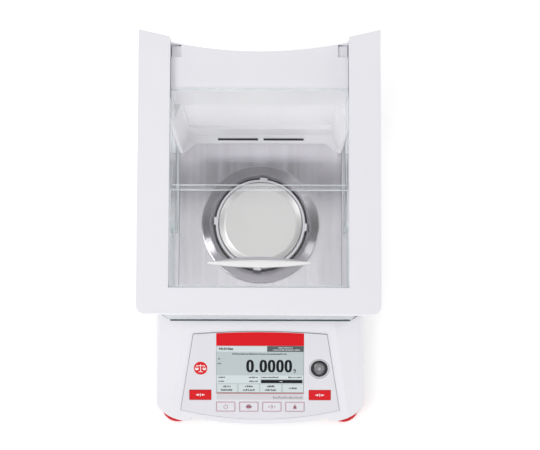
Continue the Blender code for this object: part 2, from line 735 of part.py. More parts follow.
def make_side_doors(side, word):
    """The inner rear panel and the outer front panel of one side, and the front panel's grip."""
    x0, x1 = span(side, *INNER_DOOR_X)
    clear_glass(box(word + "_rear_door", (x0, 18.7, GLASS_BOTTOM), (x1, 110.0, GLASS_TOP)))
    x0, x1 = span(side, *OUTER_DOOR_X)
    clear_glass(box(word + "_front_door", (x0, CHAMBER_FRONT + 0.5, GLASS_BOTTOM), (x1, 25.0, GLASS_TOP)))
    root = side * (OUTER_DOOR_X[1] + GAP)
    grip_edge = [(0.0, -63.0), (1.5, -65.0), (9.0, -61.0), (9.5, -59.0),
                 (3.0, -57.0), (1.5, -50.0), (0.0, -50.0)]
    section = [(root + side * x, y) for x, y in grip_edge]
    return white_plastic(prism(word + "_door_handle", [section], 165.0, 235.0))


def make_front_glass():
    return clear_glass(box("front_glass", (-99.0, -75.9, SHIELD_TOP + GAP), (99.0, -72.1, 325.0)))


def make_top_door():
    """Two halves of glass. The front half folds back over the rear half, and both slide back."""
    low, high = TOP_GLASS_Z
    hinge = (0.0, HINGE_Y, HINGE_Z)
    clear_glass(box("top_door_rear", (-82.8, 40.4, low), (82.8, 133.0, high)))
    clear_glass(box("top_door_front", (-84.0, BAR_INNER_Y + GAP, low), (84.0, 36.0, high), origin=hinge))
    crest = HINGE_Z + 1.1
    strip = [(36.4, low), (40.0, low), (40.0, high), (39.6, crest), (36.8, crest), (36.4, high)]
    carrier = prism("top_carrier", [strip], -84.0, 84.0, plane="YZ")
    for side in (-1, 1):
        x0, x1 = span(side, 83.1, 87.6)
        join(carrier, box(f"cut_runner_{side}", (x0, 37.5, low - 0.4), (x1, 131.0, high - 0.2)))
    clear_glass(carrier)
    lens = sagging_line(48.3, -4.4, -0.9, 6) + list(reversed(sagging_line(48.3, 2.9, 0.9, 6)))
    lens = [(x, y - 33.5) for x, y in mirrored(lens)]
    handle = prism("top_door_handle", [lens], high + GAP, high + 6.0)
    return white_plastic(handle)


# ---------------------------------------------------------------- frame and rear

def make_top_frame():
    """U-shaped head frame: two rails and a front bar, with grooves for every glass panel."""
    corner = arc((HALF_WIDTH - 8.0, -74.0), 8.0, -90, 0, 4)
    outside = [(0.0, -82.0)] + corner + [(HALF_WIDTH, 189.0), (RAIL_INNER, 182.0), (RAIL_INNER, BAR_INNER_Y)]
    frame = prism("top_frame", [mirrored(outside + [(0.0, BAR_INNER_Y)])[:-1]], RAIL_BOTTOM, RAIL_TOP)
    lip = box("cut_bar_lip", (-84.0, BAR_INNER_Y - 2.0, 325.0), (84.0, BAR_INNER_Y + 3.0, 330.6))
    join(frame, lip)
    for side in (-1, 1):
        for leaf, (inner, outer) in enumerate((INNER_DOOR_X, OUTER_DOOR_X)):
            x0, x1 = span(side, inner - 0.4, outer + 0.4)
            cut(frame, box(f"cut_door_groove_{side}_{leaf}", (x0, CHAMBER_FRONT, 310.0), (x1, 186.0, 329.0)))
        x0, x1 = span(side, RAIL_INNER - 2.0, RAIL_INNER + 3.2)
        cut(frame, box(f"cut_top_groove_{side}", (x0, 37.0, 330.0), (x1, 195.0, 335.6)))
    cut(frame, box("cut_front_glass_groove", (-99.4, -76.3, 310.0), (99.4, -71.7, 326.0)))
    return white_plastic(frame)


def rear_arc(half_width):
    """Concave rear edge, from the right corner to the middle."""
    return list(reversed(sagging_line(half_width, 170.0, 179.0, 6)))


def make_rear_cover():
    """Cover plate between the rails, under the path of the sliding top door."""
    plan = mirrored([(0.0, COVER_FRONT_Y), (84.7, COVER_FRONT_Y)] + rear_arc(84.7))
    cover = prism("rear_cover", [plan], 326.0, 329.0)
    skirt = mirrored([(0.0, 137.6), (84.2, 137.6)] + [(x * 0.994, y - 0.5) for x, y in rear_arc(84.7)])
    join(cover, prism("cut_cover_skirt", [skirt], 318.0, 327.0))
    for side in (-1, 1):
        x0, x1 = span(side, 75.0, 90.0)
        cut(cover, box(f"cut_notch_{side}", (x0, 164.6, 325.5), (x1, 176.4, 340.0)))
    return white_plastic(cover)


def make_rear_column():
    """Hollow housing behind the chamber, open at its bottom."""
    low = SHIELD_TOP + GAP
    plan = mirrored([(0.0, COLUMN_FRONT_Y), (COLUMN_HALF, COLUMN_FRONT_Y)] + rear_arc(COLUMN_HALF))
    column = prism("rear_column", [plan], low, RAIL_BOTTOM - GAP)
    inside = rectangle((-COLUMN_HALF + WALL, COLUMN_FRONT_Y + WALL), (COLUMN_HALF - WALL, 166.0))
    cut(column, prism("cut_column_hollow", [inside], low - 5.0, RAIL_BOTTOM - GAP - WALL))
    return white_plastic(column)


def make_rear_wall():
    """Chamber's rear wall: slanted corner posts, a shallow recess, a leaning header, a ledge with slots."""
    low = FLOOR_TOP + GAP
    back = COLUMN_FRONT_Y - GAP
    plan = mirrored([(0.0, WALL_Y), (77.5, WALL_Y), (POST_X, POST_Y), (COLUMN_HALF, POST_Y),
                     (COLUMN_HALF, back), (0.0, back)])
    wall = prism("rear_wall", [plan], low, RAIL_BOTTOM - GAP)
    header = mirrored([(0.0, WALL_Y - 0.2), (84.7, WALL_Y - 0.2), (84.7, 136.9), (0.0, 136.9)])
    join(wall, prism("cut_header", [header], 310.0, 325.7))
    ledge_half = ([(0.0, LEDGE_Y), (60.0, LEDGE_Y)] + corner_curve()
                  + [(POST_X + 1.5, POST_Y + 4.0), (80.0, 130.0), (0.0, 130.0)])
    join(wall, prism("cut_ledge", [mirrored(ledge_half)], low - 0.2, low + 3.0))
    recess = rounded_rectangle((-76.0, 131.0), (76.0, 280.0), 8.0)
    cut(wall, prism("cut_recess", [recess], -130.0, -100.0, plane="XZ"))
    lean = [(WALL_Y, 284.0), (133.3, 333.0), (90.0, 333.0), (90.0, 284.0)]
    cut(wall, prism("cut_header_lean", [lean], -POST_X + 2.0, POST_X - 2.0, plane="YZ"))
    for side in (-1, 1):
        x0, x1 = span(side, 3.0, 47.0)
        cut(wall, box(f"cut_slot_{side}", (x0, 120.5, low - 2.0), (x1, 123.1, low + 8.0)))
    return white_plastic(wall)


def corner_curve():
    """S-curve of the ledge's corner, from the ledge's straight edge out to the post."""
    points = []
    for i in range(7):
        t = i / 6
        points.append((70.7 + (POST_X - 70.7) * t, LEDGE_Y + (POST_Y - LEDGE_Y) * t * t * (3 - 2 * t)))
    return points


def main():
    start_scene()
    make_base_tray()
    make_base_cover()
    make_hook_cover()
    both_sides(make_front_foot)
    both_sides(make_rear_foot)
    make_overlay()
    make_display()
    make_keys()
    make_key_board()
    make_level()
    make_sockets()
    make_main_board()
    make_cell_frame()
    make_guides()
    make_load_receiver()
    make_lever()
    make_magnet()
    make_position_sensor()
    make_calibration()
    make_floor()
    both_sides(make_track)
    make_wind_ring()
    make_pan_ring()
    make_pan()
    both_sides(make_side_doors)
    make_front_glass()
    make_top_door()
    make_top_frame()
    make_rear_cover()
    make_rear_column()
    make_rear_wall()


main()
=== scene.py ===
"""Looks of the analytical balance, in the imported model's frame.

X = 0 is the plane of symmetry, -Y is the front and Z = 0 is the bench.
Sizes below are millimetres unless a comment says otherwise.
"""
import json
import math
import random

import bmesh
import bpy
from mathutils import Matrix, Vector


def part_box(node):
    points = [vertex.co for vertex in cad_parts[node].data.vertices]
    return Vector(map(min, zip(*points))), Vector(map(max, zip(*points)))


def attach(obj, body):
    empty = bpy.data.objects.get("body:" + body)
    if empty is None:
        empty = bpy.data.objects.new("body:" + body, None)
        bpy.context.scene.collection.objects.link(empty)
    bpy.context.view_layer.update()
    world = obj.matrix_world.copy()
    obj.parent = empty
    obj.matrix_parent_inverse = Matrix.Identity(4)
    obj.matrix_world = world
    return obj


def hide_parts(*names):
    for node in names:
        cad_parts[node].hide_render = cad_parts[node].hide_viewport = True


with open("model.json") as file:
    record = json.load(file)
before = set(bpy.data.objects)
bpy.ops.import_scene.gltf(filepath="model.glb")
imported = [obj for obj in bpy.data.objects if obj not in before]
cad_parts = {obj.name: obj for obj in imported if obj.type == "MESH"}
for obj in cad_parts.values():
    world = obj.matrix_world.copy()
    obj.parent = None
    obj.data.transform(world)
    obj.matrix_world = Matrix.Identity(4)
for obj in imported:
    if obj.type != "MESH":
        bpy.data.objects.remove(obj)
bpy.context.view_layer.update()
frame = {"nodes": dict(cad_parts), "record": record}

MM = 0.001
NODES = frame["nodes"]
BODY_OF = {}
for body_name, members in frame["record"]["behaviour"]["bodies"].items():
    for member in members:
        BODY_OF[member] = body_name

# Display face: a plane through this point, tilted about X
PANEL_Y = -136.5
PANEL_Z = 57.5
PANEL_TILT = math.radians(19.0)
OVERLAY_TOP = 1.1
OVERLAY_LOW = (87.4, -49.2, -38.6)  # lower edge: half width, and how far up its middle and ends are
OVERLAY_HIGH = (73.0, 51.3, 48.1)  # upper edge, likewise
SCREEN_HALF = 48.0
SCREEN_LOW = -18.6
SCREEN_HIGH = 35.4
LEVEL_PLACE = (64.9, 9.0)
BADGE_PLACE = (-65.2, 9.6)
BADGE_RADIUS = 7.4
TARE_UP = -21.1
TARE_TALL = 11.6
SMALL_KEY_UP = -34.7
SMALL_KEY_TALL = 11.0
KEY_CORNER = 0.5
KEY_TOP = OVERLAY_TOP + 0.15
KEY_FOOT = -1.7
KEY_GAP = 0.25
INK = 0.05  # thickness of a printed mark
SCREEN_INK = 0.03

# Chamber
PAN_Y = 28.0
HANDLE_Y = -33.5
# Bottom and top of the painted shade sheets in the rear wall's slots
SLOT_FLOOR = 85.05
SLOT_SHADE_TOP = 86.2

# Sockets: places towards the front, so the rear face's are negative
SHELL_MOUTH = -184.3
SHELL_END = -175.0
PIN_END = -174.5
PIN_PITCH = 2.76

# Meshes
WELD = 0.000002  # metres
FLAT = math.radians(0.6)

# Camera: it looks down at the top, tilted a little towards the rear
CAMERA_PLACE = (10.4, -157.3, 1914.6)
CAMERA_TILT = math.radians(5.777)
CAMERA_ROLL = math.radians(0.168)
LENS = 112.3
SENSOR = 36.0

# Studio: each light's place, the point it looks at, its width and its power in watts
LIGHTS = {
    "key": ((-1050.0, -450.0, 2300.0), (0.0, 0.0, 100.0), 1200.0, 16.0),
    "front": ((100.0, -1700.0, 560.0), (0.0, 0.0, 150.0), 700.0, 5.5),
    "back_left": ((-1600.0, 1100.0, 1300.0), (0.0, 0.0, 100.0), 600.0, 3.0),
    "back_right": ((1700.0, 1000.0, 1300.0), (0.0, 0.0, 100.0), 600.0, 6.5),
}
SKY_STRENGTH = 1.06
FLOOR_HALF = 9000.0
FLOOR_CORNER = 3000.0
FLOOR_TOP = -0.3


# ---------------------------------------------------------------- materials

class Finish:
    """A Principled material and the nodes that drive it."""

    def __init__(self, name, colour, roughness, metallic=0.0, **sockets):
        self.material = bpy.data.materials.new(name)
        self.material.use_nodes = True
        self.tree = self.material.node_tree
        self.shader = self.tree.nodes["Principled BSDF"]
        self.shader.inputs["Base Color"].default_value = (*colour, 1.0)
        self.shader.inputs["Roughness"].default_value = roughness
        self.shader.inputs["Metallic"].default_value = metallic
        for socket, value in sockets.items():
            self.shader.inputs[socket.replace("_", " ")].default_value = value
        self.colour = colour
        self.roughness = roughness

    def node(self, kind, **values):
        node = self.tree.nodes.new(kind)
        for key, value in values.items():
            if hasattr(node, key):
                setattr(node, key, value)
            else:
                node.inputs[key].default_value = value
        return node

    def link(self, source, target):
        self.tree.links.new(source, target)

    def places(self, stretch=(1.0, 1.0, 1.0)):
        """Object coordinates, in metres, stretched per axis."""
        coordinates = self.node("ShaderNodeTexCoord")
        mapping = self.node("ShaderNodeMapping", Scale=stretch)
        self.link(coordinates.outputs["Object"], mapping.inputs["Vector"])
        return mapping.outputs["Vector"]

    def noise(self, scale, stretch=(1.0, 1.0, 1.0), detail=2.0):
        """A noise value between about 0.25 and 0.75. Scale is per metre."""
        texture = self.node("ShaderNodeTexNoise", Scale=scale, Detail=detail)
        self.link(self.places(stretch), texture.inputs["Vector"])
        return texture.outputs["Fac"]

    def spread(self, value, low, high, start=0.3, end=0.7):
        """Map a noise value to a range of numbers."""
        node = self.node("ShaderNodeMapRange")
        node.inputs["From Min"].default_value = start
        node.inputs["From Max"].default_value = end
        node.inputs["To Min"].default_value = low
        node.inputs["To Max"].default_value = high
        self.link(value, node.inputs["Value"])
        return node.outputs["Result"]

    def tint(self, value, change):
        """Vary the colour's brightness by a share either way."""
        mix = self.node("ShaderNodeMix", data_type="RGBA")
        mix.inputs["A"].default_value = (*(c * (1 - change) for c in self.colour), 1.0)
        mix.inputs["B"].default_value = (*(min(1.0, c * (1 + change)) for c in self.colour), 1.0)
        self.link(self.spread(value, 0.0, 1.0), mix.inputs["Factor"])
        self.link(mix.outputs["Result"], self.shader.inputs["Base Color"])
        return mix.outputs["Result"]

    def rough(self, value, change):
        result = self.spread(value, max(0.02, self.roughness - change), self.roughness + change)
        self.link(result, self.shader.inputs["Roughness"])

    def bump(self, value, depth, strength=1.0):
        """Relief of a depth in metres."""
        node = self.node("ShaderNodeBump", Strength=strength, Distance=depth)
        self.link(value, node.inputs["Height"])
        self.link(node.outputs["Normal"], self.shader.inputs["Normal"])


def ramp(tree, stops):
    """A colour ramp through (place, colour) stops, from the first to the last."""
    node = tree.nodes.new("ShaderNodeValToRGB")
    first, *middle, last = stops
    elements = node.color_ramp.elements
    for element, (place, colour) in zip(elements, (first, last)):
        element.position = place
        element.color = (*colour, 1.0)
    for place, colour in middle:
        elements.new(place).color = (*colour, 1.0)
    return node


def moulded(name, colour, roughness, grain=2600.0, depth=0.000012, **sockets):
    """Moulded plastic: fine spark-eroded grain, faint clouding and uneven gloss."""
    look = Finish(name, colour, roughness, **sockets)
    look.tint(look.noise(26.0, detail=3.0), 0.008)
    look.rough(look.noise(40.0, detail=2.0), 0.015)
    look.bump(look.noise(grain, detail=1.0), depth, 0.12)
    return look.material


def brushed(name, colour, roughness, stretch, streak, tangent, anisotropy, depth):
    """Brushed metal: fine scratches along one direction, and broad soft streaks."""
    look = Finish(name, colour, roughness, 1.0, Anisotropic=anisotropy)
    fine = look.noise(1.0, tuple(3200.0 if s else 22.0 for s in stretch), detail=3.0)
    broad = look.noise(1.0, tuple(160.0 if s else 3.0 for s in stretch), detail=2.0)
    both = look.node("ShaderNodeMath", operation="ADD")
    look.link(fine, both.inputs[0])
    look.link(broad, both.inputs[1])
    half = look.node("ShaderNodeMath", operation="MULTIPLY")
    half.inputs[1].default_value = 0.5
    look.link(both.outputs["Value"], half.inputs[0])
    look.tint(half.outputs["Value"], streak)
    look.rough(broad, 0.015)
    look.bump(fine, depth, 0.3)
    direction = look.node("ShaderNodeCombineXYZ", X=tangent[0], Y=tangent[1], Z=tangent[2])
    look.link(direction.outputs["Vector"], look.shader.inputs["Tangent"])
    return look.material


def turned_metal(name, colour, roughness, centre, streak=0.05, anisotropy=0.8):
    """Metal finished on a lathe: circular scratches round a vertical axis at (x, y) in millimetres."""
    look = Finish(name, colour, roughness, 1.0, Anisotropic=anisotropy, Anisotropic_Rotation=0.25)
    coordinates = look.node("ShaderNodeTexCoord")
    shift = look.node("ShaderNodeVectorMath", operation="SUBTRACT")
    shift.inputs[1].default_value = (centre[0] * MM, centre[1] * MM, 0.0)
    look.link(coordinates.outputs["Object"], shift.inputs[0])
    split = look.node("ShaderNodeSeparateXYZ")
    look.link(shift.outputs["Vector"], split.inputs["Vector"])
    flat = look.node("ShaderNodeCombineXYZ")
    look.link(split.outputs["X"], flat.inputs["X"])
    look.link(split.outputs["Y"], flat.inputs["Y"])
    radius = look.node("ShaderNodeVectorMath", operation="LENGTH")
    look.link(flat.outputs["Vector"], radius.inputs[0])
    rings = look.node("ShaderNodeTexNoise", noise_dimensions="1D", Scale=1100.0, Detail=2.0)
    look.link(radius.outputs["Value"], rings.inputs["W"])
    look.tint(rings.outputs["Fac"], streak)
    look.rough(look.noise(30.0, detail=2.0), 0.015)
    look.bump(rings.outputs["Fac"], 0.000004, 0.3)
    tangent = look.node("ShaderNodeTangent", direction_type="RADIAL", axis="Z")
    look.link(tangent.outputs["Tangent"], look.shader.inputs["Tangent"])
    return look.material


def satin_metal(name, colour, roughness, grain=1500.0, change=0.05, depth=0.00001):
    """Blasted or cast metal with an even fine grain."""
    look = Finish(name, colour, roughness, 1.0)
    fine = look.noise(grain, detail=2.0)
    look.tint(fine, change)
    look.rough(look.noise(60.0, detail=3.0), 0.03)
    look.bump(fine, depth, 0.4)
    return look.material


def glass_face(name, tint, shine):
    """Large face of a pane: mostly see-through, with a mirror share that grows at a grazing angle."""
    look = Finish(name, tint, 0.0)
    look.tree.nodes.remove(look.shader)
    clear = look.node("ShaderNodeBsdfTransparent", Color=(*tint, 1.0))
    mirror = look.node("ShaderNodeBsdfAnisotropic", Color=(0.985, 0.99, 0.99, 1.0))
    look.link(look.spread(look.noise(40.0), 0.01, 0.03, 0.0, 1.0), mirror.inputs["Roughness"])
    facing = look.node("ShaderNodeLayerWeight", Blend=0.5)
    power = look.node("ShaderNodeMath", operation="POWER")
    power.inputs[1].default_value = 5.0
    look.link(facing.outputs["Facing"], power.inputs[0])
    mix = look.node("ShaderNodeMixShader")
    look.link(look.spread(power.outputs["Value"], shine, 0.9, 0.0, 1.0), mix.inputs["Fac"])
    look.link(clear.outputs["BSDF"], mix.inputs[1])
    look.link(mirror.outputs["BSDF"], mix.inputs[2])
    look.link(mix.outputs["Shader"], look.tree.nodes["Material Output"].inputs["Surface"])
    return look.material


def glass_edge(name, colour, seen_through):
    """Ground edge of a pane: the green of thick glass, half seen through."""
    look = Finish(name, colour, 0.25)
    look.tint(look.noise(90.0, detail=3.0), 0.12)
    look.rough(look.noise(700.0, detail=2.0), 0.1)
    clear = look.node("ShaderNodeBsdfTransparent")
    clear.inputs["Color"].default_value = (0.90, 0.96, 0.95, 1.0)
    mix = look.node("ShaderNodeMixShader", Fac=seen_through)
    look.link(look.shader.outputs["BSDF"], mix.inputs[1])
    look.link(clear.outputs["BSDF"], mix.inputs[2])
    look.link(mix.outputs["Shader"], look.tree.nodes["Material Output"].inputs["Surface"])
    return look.material


def printed(name, colour, roughness=0.4):
    """Ink on the overlay: almost even, with a faint screen-print mottle."""
    look = Finish(name, colour, roughness, Specular_IOR_Level=0.12)
    look.tint(look.noise(1400.0, detail=2.0), 0.03)
    look.rough(look.noise(400.0, detail=2.0), 0.04)
    return look.material


def screen_picture(name):
    """Display ground: cool grey that is a little lighter towards its top."""
    look = Finish(name, (0.50, 0.57, 0.58), 0.30, Specular_IOR_Level=0.3)
    coordinates = look.node("ShaderNodeTexCoord")
    split = look.node("ShaderNodeSeparateXYZ")
    look.link(coordinates.outputs["Generated"], split.inputs["Vector"])
    rise = look.spread(split.outputs["Y"], 0.25, 0.7, 0.0, 1.0)
    wobble = look.node("ShaderNodeMath", operation="MULTIPLY_ADD")
    wobble.inputs[1].default_value = 0.12
    look.link(look.noise(30.0), wobble.inputs[0])
    look.link(rise, wobble.inputs[2])
    ground = look.node("ShaderNodeMix", data_type="RGBA")
    ground.inputs["A"].default_value = (0.40, 0.46, 0.475, 1.0)
    ground.inputs["B"].default_value = (0.56, 0.62, 0.63, 1.0)
    look.link(wobble.outputs["Value"], ground.inputs["Factor"])
    look.link(ground.outputs["Result"], look.shader.inputs["Base Color"])
    look.rough(look.noise(500.0), 0.03)
    return look.material


def level_shaded_picture(name, centre):
    """Spirit level's cup seen through its liquid, with painted shade: grey in the middle, dark at the rim."""
    look = Finish(name, (0.05, 0.055, 0.06), 0.08, Coat_Weight=0.6)
    coordinates = look.node("ShaderNodeTexCoord")
    shift = look.node("ShaderNodeVectorMath", operation="DISTANCE")
    shift.inputs[1].default_value = centre
    look.link(coordinates.outputs["Object"], shift.inputs[0])
    shade = ramp(look.tree, ((0.0, (0.30, 0.30, 0.32)), (0.62, (0.20, 0.20, 0.21)),
                             (1.0, (0.06, 0.06, 0.065))))
    look.link(look.spread(shift.outputs["Value"], 0.0, 1.0, 0.0, 0.0075), shade.inputs["Fac"])
    look.link(shade.outputs["Color"], look.shader.inputs["Base Color"])
    look.rough(look.noise(300.0), 0.03)
    return look.material


WHITE = moulded("white_moulding", (0.775, 0.770, 0.808), 0.42)
WHITE_SMOOTH = moulded("white_smooth_moulding", (0.715, 0.705, 0.745), 0.33, grain=1500.0, depth=0.000002)
# Lighter copy of the white moulding for the rear wall: painted light, because the wall inside the chamber
# gets little light.
LIT_WHITE_WALL = moulded("white_wall_painted_light", (0.87, 0.86, 0.885), 0.30, grain=1500.0, depth=0.000002)
# Grey of the pad under the top door's grip: painted shade behind the handle.
HANDLE_SHADE_GREY = moulded("handle_shade_grey_moulding", (0.40, 0.39, 0.42), 0.45)
WHITE_BRIGHT = moulded("white_grip", (0.80, 0.79, 0.79), 0.30, grain=1500.0, depth=0.000002)
RED = moulded("red_moulding", (0.66, 0.006, 0.012), 0.40, Specular_IOR_Level=0.25)
BLACK = moulded("black_moulding", (0.018, 0.018, 0.021), 0.42)
RUBBER = moulded("black_rubber", (0.022, 0.022, 0.024), 0.75, grain=1500.0, depth=0.00003)
# Black of the gasket under the floor plate, and of the painted shade sheets in the rear wall's slots.
GASKET_AND_SLOT_SHADE = moulded("dark_gasket_and_slot_shade", (0.008, 0.008, 0.012), 0.65, grain=1200.0, depth=0.00002)
BOARD = moulded("board_laminate", (0.02, 0.16, 0.07), 0.35, grain=1100.0, depth=0.00002)
MOTOR = satin_metal("motor_can", (0.55, 0.56, 0.58), 0.42)
FLOOR_STEEL = brushed("brushed_floor_steel", (0.66, 0.64, 0.675), 0.15, (1, 0, 1), streak=0.10,
                      tangent=(1.0, 0.0, 0.0), anisotropy=1.0, depth=0.000003)
RING_STEEL = turned_metal("turned_ring_steel", (0.43, 0.415, 0.44), 0.20, (0.0, PAN_Y), streak=0.03)
PAN_STEEL = satin_metal("satin_pan_steel", (0.66, 0.645, 0.64), 0.36, grain=1800.0, change=0.04,
                        depth=0.000005)
BRIGHT_STEEL = satin_metal("bright_steel", (0.66, 0.66, 0.67), 0.22, grain=900.0)
SPRING_STEEL = satin_metal("spring_steel", (0.58, 0.58, 0.60), 0.30, grain=700.0)
CAST = satin_metal("cast_aluminium", (0.55, 0.56, 0.58), 0.50, grain=420.0, change=0.08, depth=0.00005)
IRON = satin_metal("magnet_iron", (0.36, 0.36, 0.38), 0.38, grain=800.0)
BRASS = turned_metal("turned_brass", (0.70, 0.50, 0.22), 0.28, (0.0, 2.0))
COPPER = turned_metal("copper_winding", (0.62, 0.24, 0.08), 0.32, (0.0, 125.0), streak=0.3)
PANE = glass_face("clear_glass", (0.992, 0.996, 0.995), 0.025)
PANE_EDGE = glass_edge("green_glass_edge", (0.70, 0.78, 0.78), 0.55)
# Whiter copy of the green glass edge for the top panes: painted highlight along their edges at the hinge.
PANE_EDGE_HIGHLIGHT = glass_edge("glass_edge_painted_highlight", (0.84, 0.88, 0.90), 0.45)
CLEAR = glass_face("clear_plastic", (0.985, 0.99, 0.992), 0.06)
# Dark strip along the foot of the front glass: painted shade of the join.
FRONT_JOIN_SHADE = printed("dark_green_join_shade", (0.035, 0.06, 0.065), 0.5)
RED_INK = printed("red_ink", (0.67, 0.009, 0.015), 0.5)
DARK_RED_INK = printed("dark_red_ink", (0.42, 0.02, 0.03))
GREY_INK = printed("grey_ink", (0.62, 0.61, 0.64))
# Dark grey of the thin ring round the overlay's edge: painted shade of the gap.
OVERLAY_GAP_SHADE = printed("overlay_gap_painted_shade", (0.10, 0.10, 0.12))
PINK_INK = printed("key_outline_ink", (0.52, 0.16, 0.20))
LEGEND_INK = printed("legend_ink", (0.30, 0.12, 0.16))
WHITE_INK = printed("white_ink", (0.88, 0.88, 0.88))
BLACK_INK = printed("black_ink", (0.012, 0.012, 0.014), 0.3)
SLATE_INK = printed("slate_ink", (0.10, 0.115, 0.12), 0.3)
PALE_INK = printed("pale_ink", (0.63, 0.69, 0.70), 0.3)
BUBBLE_INK = printed("bubble_grey", (0.36, 0.36, 0.38), 0.2)
RIM_INK = printed("rim_ink", (0.30, 0.29, 0.32))
SOFT_INK = printed("soft_key_ink", (0.62, 0.68, 0.68), 0.3)
TEXT_INK = printed("text_ink", (0.015, 0.017, 0.018), 0.3)
SCREEN = screen_picture("display_ground")


# ---------------------------------------------------------------- shapes

def on_panel(across, up, out=0.0):
    """World point of a place on the display face: across, up the slope, and out of it."""
    sine = math.sin(PANEL_TILT)
    cosine = math.cos(PANEL_TILT)
    return Vector((across, PANEL_Y + up * cosine - out * sine, PANEL_Z + up * sine + out * cosine)) * MM


PANEL = Matrix.Translation(on_panel(0.0, 0.0)) @ Matrix.Rotation(PANEL_TILT, 4, "X")
PLAIN = Matrix.Identity(4)


def place_piece(name, mesh, materials, body="base", replaces=(), angle=35.0):
    """Put a finished mesh in the scene, riding on a body."""
    mesh.name = name
    mesh.shade_smooth()
    mesh.set_sharp_from_angle(angle=math.radians(angle))
    for material in materials:
        mesh.materials.append(material)
    piece = bpy.data.objects.new(name, mesh)
    bpy.context.scene.collection.objects.link(piece)
    flat = piece.modifiers.new("flat_faces", "WEIGHTED_NORMAL")
    flat.keep_sharp = True
    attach(piece, body)
    if replaces:
        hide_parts(*replaces)
    return piece


def arc(centre, radius, start, end, steps):
    points = []
    for i in range(steps + 1):
        angle = math.radians(start + (end - start) * i / steps)
        points.append((centre[0] + radius * math.cos(angle), centre[1] + radius * math.sin(angle)))
    return points


def circle(centre, radius, steps=48):
    return arc(centre, radius, 0.0, 360.0, steps)[:-1]


def rounded(low, high, radius, steps=5):
    """Outline of a rectangle with round corners."""
    x0, y0 = low
    x1, y1 = high
    return (arc((x1 - radius, y0 + radius), radius, -90, 0, steps)
            + arc((x1 - radius, y1 - radius), radius, 0, 90, steps)
            + arc((x0 + radius, y1 - radius), radius, 90, 180, steps)
            + arc((x0 + radius, y0 + radius), radius, 180, 270, steps))


def mirrored(half):
    return half + [(-x, y) for x, y in reversed(half) if abs(x) > 1e-6]


def sag(x_end, y_middle, y_end, steps):
    return [(x_end * i / steps, y_middle + (y_end - y_middle) * (i / steps) ** 2) for i in range(steps + 1)]


def prism_mesh(outlines, low, high, place=PLAIN):
    """Mesh of constant section along local Z. Outlines in one list may hold holes in one another."""
    curve = bpy.data.curves.new("outline", "CURVE")
    curve.dimensions = "2D"
    curve.fill_mode = "BOTH"
    curve.extrude = (high - low) / 2 * MM
    for outline in outlines:
        spline = curve.splines.new("POLY")
        spline.points.add(len(outline) - 1)
        for point, (across, up) in zip(spline.points, outline):
            point.co = (across * MM, up * MM, 0.0, 1.0)
        spline.use_cyclic_u = True
    drawn = bpy.data.objects.new("drawn", curve)
    bpy.context.scene.collection.objects.link(drawn)
    mesh = bpy.data.meshes.new_from_object(drawn.evaluated_get(bpy.context.evaluated_depsgraph_get()))
    bpy.data.objects.remove(drawn, do_unlink=True)
    bm = bmesh.new()
    bm.from_mesh(mesh)
    bmesh.ops.translate(bm, verts=bm.verts, vec=(0.0, 0.0, (high + low) / 2 * MM))
    bmesh.ops.remove_doubles(bm, verts=bm.verts, dist=0.0000005)
    bmesh.ops.dissolve_limit(bm, angle_limit=0.001, verts=bm.verts, edges=bm.edges)
    bmesh.ops.recalc_face_normals(bm, faces=bm.faces)
    bm.transform(place)
    bm.to_mesh(mesh)
    bm.free()
    return mesh


def finished(bm, name):
    """The mesh that a bmesh holds."""
    mesh = bpy.data.meshes.new(name)
    bm.to_mesh(mesh)
    bm.free()
    return mesh


def round_sharp(bm, width, segments, angle):
    """Round the edges that turn by more than an angle, by a width in millimetres."""
    limit = math.radians(angle)
    sharp = [e for e in bm.edges if len(e.link_faces) == 2 and e.calc_face_angle(0.0) > limit]
    bmesh.ops.bevel(bm, geom=sharp, offset=width * MM, segments=segments, profile=0.5, affect="EDGES",
                    clamp_overlap=True)


def bevelled(mesh, width, segments=2):
    """Round the sharp edges of a mesh by a width in millimetres."""
    bm = bmesh.new()
    bm.from_mesh(mesh)
    round_sharp(bm, width, segments, 30.0)
    bm.to_mesh(mesh)
    bm.free()
    return mesh


def lathe_mesh(profile, centre, segments=96, closed=False):
    """Mesh of a profile of (radius, height) points spun about a vertical axis. A radius may be a function."""
    bm = bmesh.new()
    rings = []
    for radius, height in profile:
        if not callable(radius) and radius < 1e-6:
            rings.append([bm.verts.new((centre[0] * MM, centre[1] * MM, (centre[2] + height) * MM))])
            continue
        ring = []
        for i in range(segments):
            turn = 2 * math.pi * i / segments
            reach = radius(i) if callable(radius) else radius
            ring.append(bm.verts.new(((centre[0] + reach * math.cos(turn)) * MM,
                                      (centre[1] + reach * math.sin(turn)) * MM,
                                      (centre[2] + height) * MM)))
        rings.append(ring)
    pairs = list(zip(rings, rings[1:]))
    if closed:
        pairs.append((rings[-1], rings[0]))
    for first, second in pairs:
        for i in range(segments):
            j = (i + 1) % segments
            corners = [first[i % len(first)], first[j % len(first)], second[j % len(second)],
                       second[i % len(second)]]
            bm.faces.new(list(dict.fromkeys(corners)))
    bmesh.ops.recalc_face_normals(bm, faces=bm.faces)
    return finished(bm, "lathe")


def turned_to(mesh, matrix):
    mesh.transform(matrix)
    return mesh


def slab_mesh(low, high, width=0.4, segments=2, place=PLAIN):
    """Block between two corners with rounded edges."""
    bm = bmesh.new()
    low = Vector(low)
    high = Vector(high)
    shape = Matrix.Translation((low + high) / 2 * MM) @ Matrix.Diagonal((*((high - low) * MM), 1.0))
    bmesh.ops.create_cube(bm, size=1.0, matrix=shape)
    bmesh.ops.bevel(bm, geom=bm.edges[:], offset=width * MM, segments=segments, profile=0.5, affect="EDGES",
                    clamp_overlap=True)
    bm.transform(place)
    return finished(bm, "slab")


